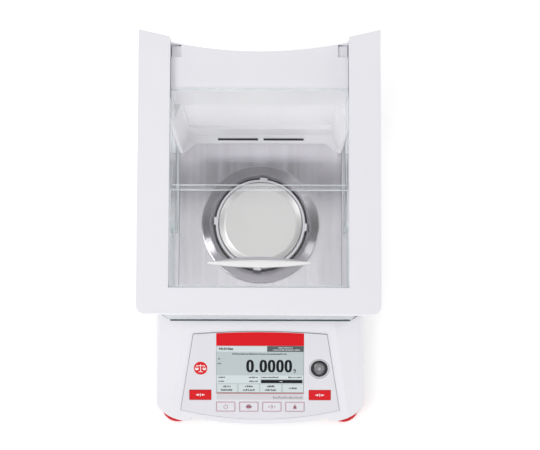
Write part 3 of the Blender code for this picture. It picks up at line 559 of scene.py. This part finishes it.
def merged(meshes):
    """One mesh of several separate ones."""
    bm = bmesh.new()
    for mesh in meshes:
        bm.from_mesh(mesh)
        bpy.data.meshes.remove(mesh)
    return finished(bm, "merged")


def clean_copy(node):
    """A CAD node's mesh with shared vertices and whole flat faces."""
    bm = bmesh.new()
    bm.from_mesh(NODES[node].data)
    bmesh.ops.remove_doubles(bm, verts=bm.verts, dist=WELD)
    bmesh.ops.dissolve_limit(bm, angle_limit=FLAT, verts=bm.verts, edges=bm.edges)
    return bm


def refined(node, material, width=0.6, segments=3, angle=28.0, shade=32.0):
    """A CAD node with rounded edges, which stands for the node."""
    bm = clean_copy(node)
    round_sharp(bm, width, segments, angle)
    return place_piece(node + "_visual", finished(bm, node), [material], BODY_OF[node], (node,), shade)


def dress(node, material, width=0.25):
    """Keep a CAD node, with softened edges and a better material."""
    piece = NODES[node]
    piece.data.materials.clear()
    piece.data.materials.append(material)
    weld = piece.modifiers.new("weld", "WELD")
    weld.merge_threshold = WELD
    flat = piece.modifiers.new("flat", "DECIMATE")
    flat.decimate_type = "DISSOLVE"
    flat.angle_limit = FLAT
    edge = piece.modifiers.new("edge", "BEVEL")
    edge.width = width * MM
    edge.segments = 2
    edge.limit_method = "ANGLE"
    edge.angle_limit = math.radians(28.0)
    edge.harden_normals = True


def pane(name, node, materials):
    """A glass pane with round corners and ground edges, standing for its CAD node."""
    corner = 1.2
    chamfer = 0.5
    low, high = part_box(node)
    size = high - low
    thin = min(range(3), key=lambda axis: size[axis])
    bm = bmesh.new()
    bmesh.ops.create_cube(bm, size=1.0, matrix=Matrix.Translation((low + high) / 2)
                          @ Matrix.Diagonal((*size, 1.0)))
    through = [e for e in bm.edges if abs((e.verts[0].co - e.verts[1].co)[thin]) > 1e-6]
    bmesh.ops.bevel(bm, geom=through, offset=corner * MM, segments=4, profile=0.5, affect="EDGES")
    rim = []
    for face in bm.faces:
        if abs(face.normal[thin]) > 0.99:
            rim.extend(face.edges)
    bmesh.ops.bevel(bm, geom=list(set(rim)), offset=chamfer * MM, segments=1, affect="EDGES")
    for face in bm.faces:
        face.material_index = 0 if abs(face.normal[thin]) > 0.99 else 1
    place_piece(name, finished(bm, name), materials, BODY_OF[node], (node,), 20.0)


# ---------------------------------------------------------------- base

def build_base():
    refined("base_cover", WHITE, width=1.3, segments=4, angle=12.0, shade=40.0)
    refined("base_tray", CAST, width=0.5)
    refined("hook_cover", BLACK, width=0.3)
    for side in ("left", "right"):
        build_front_foot(side)
        refined("rear_foot_" + side, RUBBER, width=0.8)
    build_screw_heads()


def build_front_foot(side):
    """Knurled red wheel on a threaded stud, over a rubber pad."""
    low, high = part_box("foot_wheel_" + side)
    centre = ((low.x + high.x) / 2 / MM, (low.y + high.y) / 2 / MM, 0.0)

    def knurl(outer, depth):
        return lambda i: outer - (depth if i % 4 in (2, 3) else 0.0)

    wheel = lathe_mesh([(0.0, 10.3), (12.0, 10.3), (knurl(16.2, 0.2), 10.2), (knurl(17.4, 0.5), 9.7),
                        (knurl(18.0, 0.75), 8.9), (knurl(18.0, 0.75), 5.7), (knurl(17.4, 0.5), 4.9),
                        (knurl(16.2, 0.2), 4.4), (12.0, 4.3), (0.0, 4.3)], centre, segments=192)
    body = BODY_OF["foot_wheel_" + side]
    place_piece(f"foot_wheel_{side}_knurled", wheel, [RED], body, ("foot_wheel_" + side,))
    thread = [(0.0, 21.0), (3.0, 21.0)]
    height = 20.4
    while height > 11.0:
        thread += [(4.0, height), (3.45, height - 0.5)]
        height -= 1.0
    thread += [(3.45, 10.2), (0.0, 10.2)]
    place_piece(f"foot_stud_{side}", lathe_mesh(thread, centre, 48), [BRIGHT_STEEL], body)
    pad = [(0.0, 4.0), (9.6, 4.0), (10.6, 3.7), (11.0, 3.0), (11.0, 0.7), (10.4, 0.1), (9.4, 0.0), (8.6, 0.0),
           (8.3, 0.5), (7.2, 0.5), (6.9, 0.0), (5.2, 0.0), (4.9, 0.5), (3.8, 0.5), (3.5, 0.0), (0.0, 0.0)]
    place_piece(f"foot_pad_{side}_grooved", lathe_mesh(pad, centre, 64), [RUBBER],
                BODY_OF["foot_pad_" + side], ("foot_pad_" + side,))


def build_screw_heads():
    """Cross-recess screws that hold the tray to the cover."""
    for side in (-1, 1):
        for row, y in enumerate((-130.0, 20.0, 150.0)):
            centre = (side * 108.0, y, 14.0)
            head = lathe_mesh([(0.0, 0.0), (3.2, 0.0), (3.2, -0.9), (2.6, -1.6), (1.4, -1.9), (0.0, -2.0)],
                              centre, 32)
            cross = []
            for turn in (0.0, math.pi / 2):
                spin = Matrix.Translation(Vector(centre) * MM) @ Matrix.Rotation(turn + 0.3 * row, 4, "Z")
                cross.append(slab_mesh((-1.9, -0.35, -2.5), (1.9, 0.35, -1.1), 0.05, 1, spin))
            mesh = carved(head, cross)
            name = f"tray_screw_{'left' if side < 0 else 'right'}_{row}"
            place_piece(name, mesh, [BRIGHT_STEEL], "base")


def carved(mesh, cutters):
    """A mesh with others cut out of it."""
    target = bpy.data.objects.new("carve", mesh)
    bpy.context.scene.collection.objects.link(target)
    tools = []
    for cutter in cutters:
        tool = bpy.data.objects.new("tool", cutter)
        bpy.context.scene.collection.objects.link(tool)
        step = target.modifiers.new("cut", "BOOLEAN")
        step.operation = "DIFFERENCE"
        step.object = tool
        tools.append(tool)
    result = bpy.data.meshes.new_from_object(target.evaluated_get(bpy.context.evaluated_depsgraph_get()))
    for made in [target] + tools:
        bpy.data.objects.remove(made, do_unlink=True)
    return result


# ---------------------------------------------------------------- display face

def overlay_outline(grow=0.0):
    half, middle, end = OVERLAY_LOW
    bottom = sag(half + grow, middle - grow, end - grow, 20)
    half, middle, end = OVERLAY_HIGH
    top = list(reversed(sag(half + grow * 0.8, middle + grow, end + grow, 16)))
    return mirrored(bottom + top)


def key_corners():
    """Name and the two corners, on the display face, of every key."""
    corners = {}
    for node in ("tare_key_left", "tare_key_right", "power_key", "print_key", "zero_key", "cal_key"):
        low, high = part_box(node)
        up = TARE_UP if node.startswith("tare") else SMALL_KEY_UP
        tall = TARE_TALL if node.startswith("tare") else SMALL_KEY_TALL
        corners[node] = ((low.x / MM, up - tall / 2), (high.x / MM, up + tall / 2))
    return corners


def decal(name, outlines, material, body="base", thick=INK, out=OVERLAY_TOP):
    """A printed mark: a very thin solid on the overlay."""
    mesh = prism_mesh(outlines, out, out + thick, PANEL)
    return place_piece(name, mesh, [material], body)


def frame_outline(low, high, line, radius=0.6):
    return [rounded(low, high, radius), rounded((low[0] + line, low[1] + line),
                                                (high[0] - line, high[1] - line), max(0.05, radius - line))]


def word_marks(x0, x1, up, tall, seed):
    """A row of short strokes of uneven width, where a line of words would be."""
    draw = random.Random(seed)
    outlines = []
    x = x0
    while x < x1 - 0.5:
        wide = draw.choice((0.65, 0.8, 1.0))
        high = tall * draw.choice((0.8, 0.8, 1.1))
        outlines.append([(x, up), (min(x1, x + wide), up), (min(x1, x + wide), up + high), (x, up + high)])
        x += wide + draw.choice((0.25, 0.3, 0.3, 0.8))
    return outlines


def rounded_zero(x, low, high, wide, stroke, crown):
    """Outlines of a tall numeral zero: an outer and an inner oval with straight flanks."""
    outlines = []
    for inset_x, inset_y in ((0.0, 0.0), (stroke, crown)):
        a = wide / 2 - inset_x
        b = (high - low) / 2 - inset_y
        points = []
        for i in range(40):
            t = 2 * math.pi * i / 40
            c, s = math.cos(t), math.sin(t)
            points.append((x + a * math.copysign(abs(c) ** 0.72, c),
                           (low + high) / 2 + b * math.copysign(abs(s) ** 0.85, s)))
        outlines.append(points)
    return outlines


def build_display_face():
    corners = key_corners()
    # Thin dark ring just outside the overlay's edge: painted shade of the gap between overlay and panel.
    gap_shade_ring = prism_mesh([overlay_outline(0.45), overlay_outline(-0.6)], 0.02, 0.32, PANEL)
    place_piece("overlay_gap_shade", gap_shade_ring, [OVERLAY_GAP_SHADE], "base")
    holes = [rounded((-SCREEN_HALF, SCREEN_LOW), (SCREEN_HALF, SCREEN_HIGH), 0.3),
             circle(LEVEL_PLACE, 10.3)]
    for (x0, y0), (x1, y1) in corners.values():
        holes.append(rounded((x0 - KEY_GAP, y0 - KEY_GAP), (x1 + KEY_GAP, y1 + KEY_GAP), 0.6))
    overlay = prism_mesh([overlay_outline()] + holes, 0.3, OVERLAY_TOP, PANEL)
    place_piece("display_overlay_sheet", bevelled(overlay, 0.15), [WHITE_SMOOTH], "base",
                ("display_overlay",))
    half, middle, end = OVERLAY_HIGH
    top = []
    for i in range(13):
        x = SCREEN_HALF * i / 12
        top.append((x, middle - (middle - end) * (x / half) ** 2 - 0.35))
    red = [(SCREEN_HALF, SCREEN_HIGH)] + list(reversed(top))
    strip = [(-x, up) for x, up in red] + [(x, up) for x, up in reversed(red)]
    decal("red_header", [strip], RED_INK)
    decal("red_rule", [[(-48, -19.5), (48, -19.5), (48, -18.7), (-48, -18.7)]], DARK_RED_INK)
    decal("grey_footer", [[(-48, -26.6), (48, -26.6), (48, -19.6), (-48, -19.6)]], GREY_INK)
    ticks = []
    for i in range(26):
        x = 14.5 + i * 1.25
        tall = 3.0 if i % 5 == 0 else 1.7
        ticks.append([(x, -25.2), (x + 0.42, -25.2), (x + 0.42, -25.2 + tall), (x, -25.2 + tall)])
    decal("scale_marks", ticks, TEXT_INK, out=OVERLAY_TOP + INK)
    build_emblem()
    build_keys(corners)
    build_screen()
    build_level()


def build_emblem():
    """A generic badge: a red disc with a pair of scales on it."""
    decal("badge_disc", [circle(BADGE_PLACE, BADGE_RADIUS, 64)], RED_INK)
    x, up = BADGE_PLACE
    beam = [(x - 4.6, up + 2.5), (x + 4.6, up + 2.5), (x + 4.6, up + 3.2), (x - 4.6, up + 3.2)]
    post = [(x - 0.4, up - 3.9), (x + 0.4, up - 3.9), (x + 0.4, up + 4.2), (x - 0.4, up + 4.2)]
    foot = [(x - 2.4, up - 4.5), (x + 2.4, up - 4.5), (x + 2.4, up - 3.8), (x - 2.4, up - 3.8)]
    marks = {"part_0": beam, "part_1": post, "part_2": foot}
    for side, word in ((-1, "left"), (1, "right")):
        hang = x + side * 4.2
        marks["bowl_" + word] = arc((hang, up - 0.2), 2.1, 180, 360, 14)
        marks["strings_" + word] = [(hang - 2.1, up - 0.2), (hang, up + 2.7), (hang + 2.1, up - 0.2),
                                    (hang + 1.7, up - 0.2), (hang, up + 2.1), (hang - 1.7, up - 0.2)]
    for name, outline in marks.items():
        decal("badge_" + name, [outline], WHITE_INK, out=OVERLAY_TOP + INK)


def build_keys(corners):
    for node, (low, high) in corners.items():
        tare = node.startswith("tare")
        cap = prism_mesh([rounded(low, high, KEY_CORNER)], KEY_FOOT, KEY_TOP, PANEL)
        place_piece(node + "_cap", bevelled(cap, 0.3), [RED if tare else WHITE_SMOOTH], BODY_OF[node],
                    (node,))
        middle = ((low[0] + high[0]) / 2, (low[1] + high[1]) / 2)
        if tare:
            symbol = tare_symbol(*middle)
            decal(node + "_symbol", symbol, WHITE_INK, BODY_OF[node], out=KEY_TOP)
            continue
        line = frame_outline((low[0] + 0.35, low[1] + 0.35), (high[0] - 0.35, high[1] - 0.35), 0.42)
        decal(node + "_outline", line, PINK_INK, BODY_OF[node], out=KEY_TOP)
        for part, outlines in enumerate(KEY_SYMBOLS[node](*middle)):
            decal(f"{node}_symbol_{part}", outlines, LEGEND_INK, BODY_OF[node], out=KEY_TOP)


def tare_symbol(x, up):
    """Two arrows that point to a bar between them."""
    marks = [[(x - 0.35, up - 1.9), (x + 0.35, up - 1.9), (x + 0.35, up + 1.9), (x - 0.35, up + 1.9)]]
    for side in (-1, 1):
        marks.append([(x + side * 1.0, up), (x + side * 3.0, up + 1.4), (x + side * 3.0, up + 0.4),
                      (x + side * 4.8, up + 0.4), (x + side * 4.8, up - 0.4), (x + side * 3.0, up - 0.4),
                      (x + side * 3.0, up - 1.4)])
    return marks


def power_symbol(x, up):
    ring = arc((x, up), 2.4, 120, 420, 30) + arc((x, up), 1.95, 420, 120, 30)
    bar = [(x - 0.22, up + 0.2), (x + 0.22, up + 0.2), (x + 0.22, up + 2.9), (x - 0.22, up + 2.9)]
    return [[ring], [bar]]


def print_symbol(x, up):
    case = rounded((x - 3.2, up - 1.2), (x + 3.2, up + 1.2), 0.4)
    paper = [(x - 1.8, up + 1.4), (x + 1.8, up + 1.4), (x + 1.8, up + 2.5), (x - 1.8, up + 2.5)]
    tray = frame_outline((x - 1.8, up - 2.6), (x + 1.8, up - 1.3), 0.35, 0.1)
    return [[case], [paper], tray]


def zero_symbol(x, up):
    marks = [rounded_zero(x, up - 1.9, up + 1.9, 2.3, 0.5, 0.5)]
    for side in (-1, 1):
        marks.append([[(x + side * 2.0, up), (x + side * 3.8, up + 1.1), (x + side * 3.8, up + 0.6),
                       (x + side * 2.9, up), (x + side * 3.8, up - 0.6), (x + side * 3.8, up - 1.1)]])
    return marks


def weight_symbol(x, up):
    body = [(x - 2.0, up - 2.3), (x + 2.0, up - 2.3), (x + 1.4, up + 0.9), (x - 1.4, up + 0.9)]
    return [[body], [circle((x, up + 1.7), 0.95, 24), circle((x, up + 1.7), 0.5, 24)]]


KEY_SYMBOLS = {"power_key": power_symbol, "print_key": print_symbol, "zero_key": zero_symbol,
               "cal_key": weight_symbol}


def build_screen():
    """The display under its window, with a reading, status rows and soft keys."""
    edge = 0.25
    out = OVERLAY_TOP - 0.1
    outline = rounded((-SCREEN_HALF + edge, SCREEN_LOW + edge), (SCREEN_HALF - edge, SCREEN_HIGH - edge), 0.3)
    window = prism_mesh([outline], -1.2, out, PANEL)
    place_piece("display_picture", bevelled(window, 0.1, 1), [SCREEN], "base", ("display_window",))

    def mark(name, outlines, material, level=0):
        decal("display_" + name, outlines, material, out=out + SCREEN_INK * level, thick=SCREEN_INK)

    def block(x0, low, x1, high):
        return [(x0, low), (x1, low), (x1, high), (x0, high)]

    mark("title_bar", [block(-47.7, 28.6, 7.5, 35.0)], PALE_INK)
    mark("status_box", [block(7.7, 28.6, 47.6, 35.0)], SLATE_INK)
    mark("title_words", word_marks(-45.0, -29.0, 30.6, 2.4, 3), TEXT_INK, 1)
    status = word_marks(20.0, 36.0, 32.6, 1.2, 5) + word_marks(14.0, 44.0, 30.1, 1.2, 7)
    mark("status_words", status, PALE_INK, 1)
    mark("hint_words", word_marks(-30.5, 29.0, 25.2, 1.5, 11), TEXT_INK)
    mark("icon_stable", [circle((-45.0, 20.3), 0.8, 20)], TEXT_INK)
    mark("icon_unit", word_marks(-46.6, -42.2, 14.4, 1.2, 13), TEXT_INK)
    zeros = []
    for x in (-11.0, 3.5, 12.6, 21.8, 30.9):
        zeros += rounded_zero(x, 5.0, 19.3, 8.4, 3.05, 2.3)
    zeros.append(rounded((-5.2, 5.1), (-2.3, 7.9), 0.5))
    mark("digits", zeros, BLACK_INK)
    bowl, hook = gram_sign(37.7, 6.0)
    mark("unit_bowl", bowl, BLACK_INK)
    mark("unit_hook", hook, BLACK_INK, 1)
    mark("rows_ground", [block(-47.7, -7.6, 0.0, 1.4), block(0.6, -2.8, 47.6, 1.4)], PALE_INK)
    rows = (word_marks(-45.6, -38.5, -1.6, 1.5, 17) + word_marks(-45.6, -39.5, -6.1, 1.5, 19)
            + word_marks(-12.0, -2.0, -1.6, 1.5, 23) + word_marks(-12.0, -2.0, -6.1, 1.5, 29)
            + word_marks(1.6, 20.5, -1.4, 1.4, 31) + word_marks(31.0, 46.0, -1.4, 1.4, 37))
    mark("row_words", rows, TEXT_INK, 1)
    mark("capacity_bar", [block(1.1, -7.4, 46.3, -3.7)], BLACK_INK, 1)
    mark("capacity_mark", word_marks(21.5, 25.5, -6.1, 1.1, 41), PALE_INK, 2)
    keys = ((-47.4, -25.4), (-23.4, -1.1), (0.4, 23.1), (25.3, 47.4))
    mark("soft_keys", [rounded((x0, -18.0), (x1, -8.8), 0.8) for x0, x1 in keys], SOFT_INK)
    words = []
    for i, (x0, x1) in enumerate(keys):
        middle = (x0 + x1) / 2
        rows = ((-12.2, 4.0), (-16.4, 6.4)) if i < 3 else ((-14.2, 4.6),)
        for j, (up, reach) in enumerate(rows):
            words += word_marks(middle - reach, middle + reach, up, 2.0, 43 + 10 * i + j)
    mark("soft_key_words", words, TEXT_INK, 1)


def gram_sign(x, low):
    """Outlines of the gram sign: a bowl, and a stem that ends in a hook below it."""
    bowl = [circle((x, low + 1.5), 1.2, 28), circle((x, low + 1.5), 0.5, 20)]
    hook = (arc((x, low - 0.5), 1.2, -150, 0, 12) + [(x + 1.2, low + 2.7), (x + 0.6, low + 2.7)]
            + arc((x, low - 0.5), 0.6, 0, -150, 12))
    return bowl, [hook]


def build_level():
    """Round spirit level: black cup, glass with a dark liquid and painted shade towards its rim, ring mark
    and bubble.
    """
    turn = Matrix.Translation(on_panel(*LEVEL_PLACE)) @ Matrix.Rotation(PANEL_TILT, 4, "X")
    cup = lathe_mesh([(7.4, 1.1), (8.6, 1.1), (9.0, 0.8), (9.0, -6.0), (5.0, -6.0), (5.0, -5.0), (7.0, -5.0),
                      (7.0, 0.7)], (0, 0, 0), 96, closed=True)
    place_piece("level_cup", turned_to(cup, turn), [BLACK], "base", ("level_ring",))
    glass = [(0.0, 1.0), (2.0, 0.98), (4.0, 0.9), (5.6, 0.75), (6.5, 0.4), (6.7, 0.0), (6.7, -4.7),
             (0.0, -4.7)]
    picture = level_shaded_picture("level_liquid_painted_shade", tuple(on_panel(*LEVEL_PLACE, 1.0)))
    place_piece("level_glass", turned_to(lathe_mesh(glass, (0, 0, 0), 64), turn), [picture], "base",
                ("level_vial",))
    lines = (("level_circle", 2.75, 3.1, 0.97), ("level_rim_line", 5.2, 5.45, 0.84))
    for name, inner, outer, height in lines:
        ring = lathe_mesh([(inner, height - 0.1), (inner, height + 0.03), (outer, height + 0.03),
                           (outer, height - 0.1)], (0, 0, 0), 48, closed=True)
        place_piece(name, turned_to(ring, turn), [BLACK_INK], "base")
    bubble = lathe_mesh([(0.0, 1.28), (0.9, 1.2), (1.6, 1.0), (1.7, 0.9), (0.0, 0.9)], (0.3, -0.2, 0), 32)
    place_piece("level_bubble", turned_to(bubble, turn), [BUBBLE_INK], "base")
    x, up = LEVEL_PLACE
    decal("level_print", [circle((x, up), 11.3, 64), circle((x, up), 10.8, 64)], RIM_INK)


# ---------------------------------------------------------------- chamber

def build_chamber():
    refined("shield_base", WHITE, width=0.5)
    # Black liner under the floor plate and wind ring, which makes the gap round the pan ring dark.
    dress("floor_gasket", GASKET_AND_SLOT_SHADE, 0.2)
    refined("floor_plate", FLOOR_STEEL, width=0.25, segments=2)
    for side in ("left", "right"):
        refined(side + "_track", WHITE_SMOOTH, width=0.25, segments=2)
    funnel = [(63.0, 93.4), (63.7, 93.2), (64.0, 92.6), (64.0, 85.4), (63.1, 85.4), (63.1, 92.1),
              (62.6, 92.5), (53.6, 87.9), (53.0, 87.1), (53.0, 85.4), (51.9, 85.4), (51.9, 87.5),
              (52.2, 88.3), (52.8, 88.6)]
    place_piece("wind_ring_turned", lathe_mesh(funnel, (0.0, PAN_Y, 0.0), 160, closed=True), [RING_STEEL],
                "base", ("wind_ring",), 30.0)
    refined("pan_ring", WHITE_SMOOTH, width=0.2, segments=2, angle=40.0)
    pan = [(0.0, 100.0), (37.6, 100.0), (38.4, 99.93), (39.2, 99.68), (44.3, 97.7), (44.9, 97.3),
           (45.0, 96.8), (44.8, 96.4), (44.2, 96.3), (38.6, 98.7), (37.6, 98.8), (0.0, 98.8)]
    place_piece("weighing_pan_turned", lathe_mesh(pan, (0.0, PAN_Y, 0.0), 160), [PAN_STEEL],
                BODY_OF["weighing_pan"], ("weighing_pan",), 30.0)
    refined("pan_support", CAST, width=0.3, segments=2)
    refined("rear_wall", LIT_WHITE_WALL, width=0.45, segments=2, angle=18.0)
    # Dark sheets in the rear wall's slots: painted shade, so that the slots read dark.
    for word, left, right in (("left", -46.9, -3.1), ("right", 3.1, 46.9)):
        shade_sheet = slab_mesh((left, 120.6, SLOT_FLOOR), (right, 123.0, SLOT_SHADE_TOP), 0.1)
        place_piece("slot_painted_shade_" + word, shade_sheet, [GASKET_AND_SLOT_SHADE], "base")


def build_glass():
    faces = [PANE, PANE_EDGE]
    for side in ("left", "right"):
        pane(side + "_rear_pane", side + "_rear_door", faces)
        pane(side + "_front_pane", side + "_front_door", faces)
        refined(side + "_door_handle", WHITE_BRIGHT, width=0.6, segments=3)
    pane("front_pane", "front_glass", faces)
    pane("top_rear_pane", "top_door_rear", [PANE, PANE_EDGE_HIGHLIGHT])
    pane("top_front_pane", "top_door_front", [PANE, PANE_EDGE_HIGHLIGHT])
    refined("top_carrier", CLEAR, width=0.4, segments=2)
    build_top_handle()
    build_front_join_shade()


def build_top_handle():
    """Lens-shaped grip on the folding top pane, with a slope down to its rear edge."""
    low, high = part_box("top_door_handle")
    steps = 24
    half = (high.x - low.x) / 2 / MM
    middle = (high.x + low.x) / 2 / MM
    bm = bmesh.new()
    sections = []
    for i in range(steps + 1):
        t = 2 * i / steps - 1
        front = HANDLE_Y - 4.4 + 3.5 * t * t
        rear = HANDLE_Y + 2.9 - 2.0 * t * t
        slope = (rear - front) * 0.30
        foot = low.z / MM
        crest = high.z / MM - 0.6 * t * t
        profile = [(front, foot), (front, crest - 1.2), (front + 0.35, crest - 0.4), (front + 1.0, crest),
                   (rear - slope, crest), (rear - slope * 0.75, crest - 0.35), (rear - 0.1, crest - 3.2),
                   (rear, crest - 3.6), (rear, foot)]
        sections.append([bm.verts.new(Vector((middle + half * t, y, z)) * MM) for y, z in profile])
    for first, second in zip(sections, sections[1:]):
        for i in range(len(first)):
            j = (i + 1) % len(first)
            bm.faces.new((first[i], first[j], second[j], second[i]))
    bm.faces.new(sections[0])
    bm.faces.new(sections[-1])
    bmesh.ops.recalc_face_normals(bm, faces=bm.faces)
    body = BODY_OF["top_door_handle"]
    place_piece("top_handle_grip", finished(bm, "handle"), [WHITE_BRIGHT], body,
                ("top_door_handle",), 40.0)
    # Pad under the rear of the grip; its grey is painted shade behind the handle.
    front = [(x, y + HANDLE_Y) for x, y in sag(half - 2.0, -3.0, 0.0, 10)]
    rear = [(x, y + HANDLE_Y) for x, y in reversed(sag(half - 2.0, 5.9, 0.8, 10))]
    pad = bevelled(prism_mesh([mirrored(front + rear)], 335.05, 336.4), 0.3)
    place_piece("top_handle_shaded_pad", pad, [HANDLE_SHADE_GREY], body)


def build_front_join_shade():
    """Thin dark strip where the front glass meets the shield's base plate: painted shade of the join."""
    outer = [(-108.2, -69.4), (-97.2, -76.8), (97.2, -76.8), (108.2, -69.4)]
    inner = [(x, y + 0.8) for x, y in reversed(outer)]
    strip = prism_mesh([outer + inner], 80.6, 82.6)
    place_piece("front_glass_join_shade", strip, [FRONT_JOIN_SHADE], "base")


def build_housing():
    refined("top_frame", WHITE, width=1.6, segments=4)
    refined("rear_cover", WHITE, width=0.2, segments=2)
    refined("rear_column", WHITE, width=1.2)


# ---------------------------------------------------------------- inside and rear

def build_inside():
    """Weigh cell, calibration gear and boards: the CAD nodes themselves, with softened edges."""
    looks = {
        "cell_frame": (CAST, 0.5), "upper_guide": (SPRING_STEEL, 0.1), "lower_guide": (SPRING_STEEL, 0.1),
        "load_receiver": (CAST, 0.3), "lever_beam": (CAST, 0.3), "force_coil": (COPPER, 0.2),
        "magnet_pot": (IRON, 0.5), "position_sensor": (BLACK, 0.3), "calibration_weight": (BRASS, 0.4),
        "calibration_cradle": (BLACK, 0.4), "calibration_motor": (MOTOR, 0.4), "key_board": (BOARD, 0.1),
        "main_board": (BOARD, 0.2), "lcd_module": (BLACK, 0.3),
    }
    for node, (material, width) in looks.items():
        dress(node, material, width)


def socket_place(node):
    """Matrix at a rear socket: local X runs across, Y up and Z to the front."""
    low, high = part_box(node)
    x = (low.x + high.x) / 2 / MM
    z = (low.z + high.z) / 2 / MM
    return Matrix.Translation(Vector((x, 0.0, z)) * MM) @ Matrix.Rotation(math.pi / 2, 4, "X")


def build_sockets():
    for node in ("power_inlet", "serial_socket", "usb_socket"):
        dress(node, BLACK, 0.3)
    place = socket_place("serial_socket")
    shell = prism_mesh([rounded((-9.4, -4.3), (9.4, 4.3), 2.0), rounded((-8.8, -3.7), (8.8, 3.7), 1.6)],
                       SHELL_MOUTH, SHELL_END, place)
    place_piece("serial_shell", shell, [BRIGHT_STEEL], "base")
    pins = []
    for count, up in ((5, 1.4), (4, -1.4)):
        for i in range(count):
            across = (i - (count - 1) / 2) * PIN_PITCH
            pins.append(prism_mesh([circle((across, up), 0.5, 12)], -182.5, PIN_END, place))
    place_piece("serial_pins", merged(pins), [BRASS], "base")
    nuts = []
    for across in (-11.6, 11.6):
        outlines = [circle((across, 0.0), 1.7, 6), circle((across, 0.0), 0.8, 12)]
        nuts.append(prism_mesh(outlines, -184.9, -183.9, place))
    place_piece("serial_nuts", merged(nuts), [BRIGHT_STEEL], "base")
    place = socket_place("usb_socket")
    shell = prism_mesh([rounded((-3.4, -2.9), (3.4, 2.9), 0.5), rounded((-3.1, -2.6), (3.1, 2.6), 0.3)],
                       SHELL_MOUTH, SHELL_END, place)
    place_piece("usb_shell", shell, [BRIGHT_STEEL], "base")
    tongue = prism_mesh([rounded((-1.8, -1.1), (1.8, 1.1), 0.3)], -183.2, PIN_END, place)
    place_piece("usb_tongue", tongue, [WHITE], "base")


# ---------------------------------------------------------------- studio

def build_studio():
    outline = rounded((-FLOOR_HALF, -FLOOR_HALF), (FLOOR_HALF, FLOOR_HALF), FLOOR_CORNER, 12)
    floor = prism_mesh([outline], -30.0, FLOOR_TOP)
    floor.materials.append(studio_floor())
    ground = bpy.data.objects.new("studio_floor", floor)
    bpy.context.scene.collection.objects.link(ground)
    build_sky()
    for name, setting in LIGHTS.items():
        add_light(name, *setting)


def build_sky():
    """Studio surroundings: bright walls, a dim belt above them, and a bright ceiling with a gap in it."""
    world = bpy.data.worlds.new("studio")
    bpy.context.scene.world = world
    world.use_nodes = True
    tree = world.node_tree
    back = tree.nodes["Background"]
    back.inputs["Strength"].default_value = SKY_STRENGTH
    coordinates = tree.nodes.new("ShaderNodeTexCoord")
    split = tree.nodes.new("ShaderNodeSeparateXYZ")
    tree.links.new(coordinates.outputs["Generated"], split.inputs["Vector"])
    height = ramp(tree, ((0.32, (1.0, 1.0, 1.0)), (0.42, (0.15, 0.15, 0.17)), (0.70, (0.17, 0.17, 0.17)),
                         (0.80, (1.0, 1.0, 1.0))))
    tree.links.new(split.outputs["Z"], height.inputs["Fac"])
    lean = tree.nodes.new("ShaderNodeMath")
    lean.operation = "DIVIDE"
    tree.links.new(split.outputs["Y"], lean.inputs[0])
    tree.links.new(split.outputs["Z"], lean.inputs[1])
    gap = ramp(tree, ((0.113, (1.0, 1.0, 1.0)), (0.120, (0.20, 0.20, 0.22)), (0.142, (0.26, 0.26, 0.26)),
                      (0.17, (1.0, 1.0, 1.0))))
    tree.links.new(lean.outputs["Value"], gap.inputs["Fac"])
    both = tree.nodes.new("ShaderNodeMix")
    both.data_type = "RGBA"
    both.blend_type = "MULTIPLY"
    both.inputs["Factor"].default_value = 1.0
    tree.links.new(height.outputs["Color"], both.inputs["A"])
    tree.links.new(gap.outputs["Color"], both.inputs["B"])
    tree.links.new(both.outputs["Result"], back.inputs["Color"])


def studio_floor():
    """Pale paper that glows a little, so that it stays even."""
    look = Finish("studio_paper", (0.82, 0.82, 0.82), 0.9, Emission_Strength=0.32,
                  Emission_Color=(1.0, 1.0, 1.0, 1.0))
    look.tint(look.noise(8.0), 0.004)
    look.bump(look.noise(300.0), 0.00002, 0.3)
    return look.material


def add_light(name, place, target, size, power):
    data = bpy.data.lights.new(name, "AREA")
    data.shape = "DISK"
    data.size = size * MM
    data.energy = power
    light = bpy.data.objects.new(name, data)
    bpy.context.scene.collection.objects.link(light)
    light.location = Vector(place) * MM
    aim = Vector(target) - Vector(place)
    light.rotation_euler = aim.to_track_quat("-Z", "Y").to_euler()


def build_camera():
    data = bpy.data.cameras.new("camera")
    data.lens = LENS
    data.sensor_width = SENSOR
    data.sensor_fit = "HORIZONTAL"
    data.clip_start = 0.05
    data.clip_end = 60.0
    camera = bpy.data.objects.new("camera", data)
    bpy.context.scene.collection.objects.link(camera)
    camera.matrix_world = (Matrix.Translation(Vector(CAMERA_PLACE) * MM)
                           @ Matrix.Rotation(CAMERA_TILT, 4, "X") @ Matrix.Rotation(CAMERA_ROLL, 4, "Z"))
    bpy.context.scene.camera = camera
    bpy.context.scene.view_settings.view_transform = "Standard"


build_camera()
build_studio()
build_base()
build_display_face()
build_chamber()
build_glass()
build_housing()
build_inside()
build_sockets()
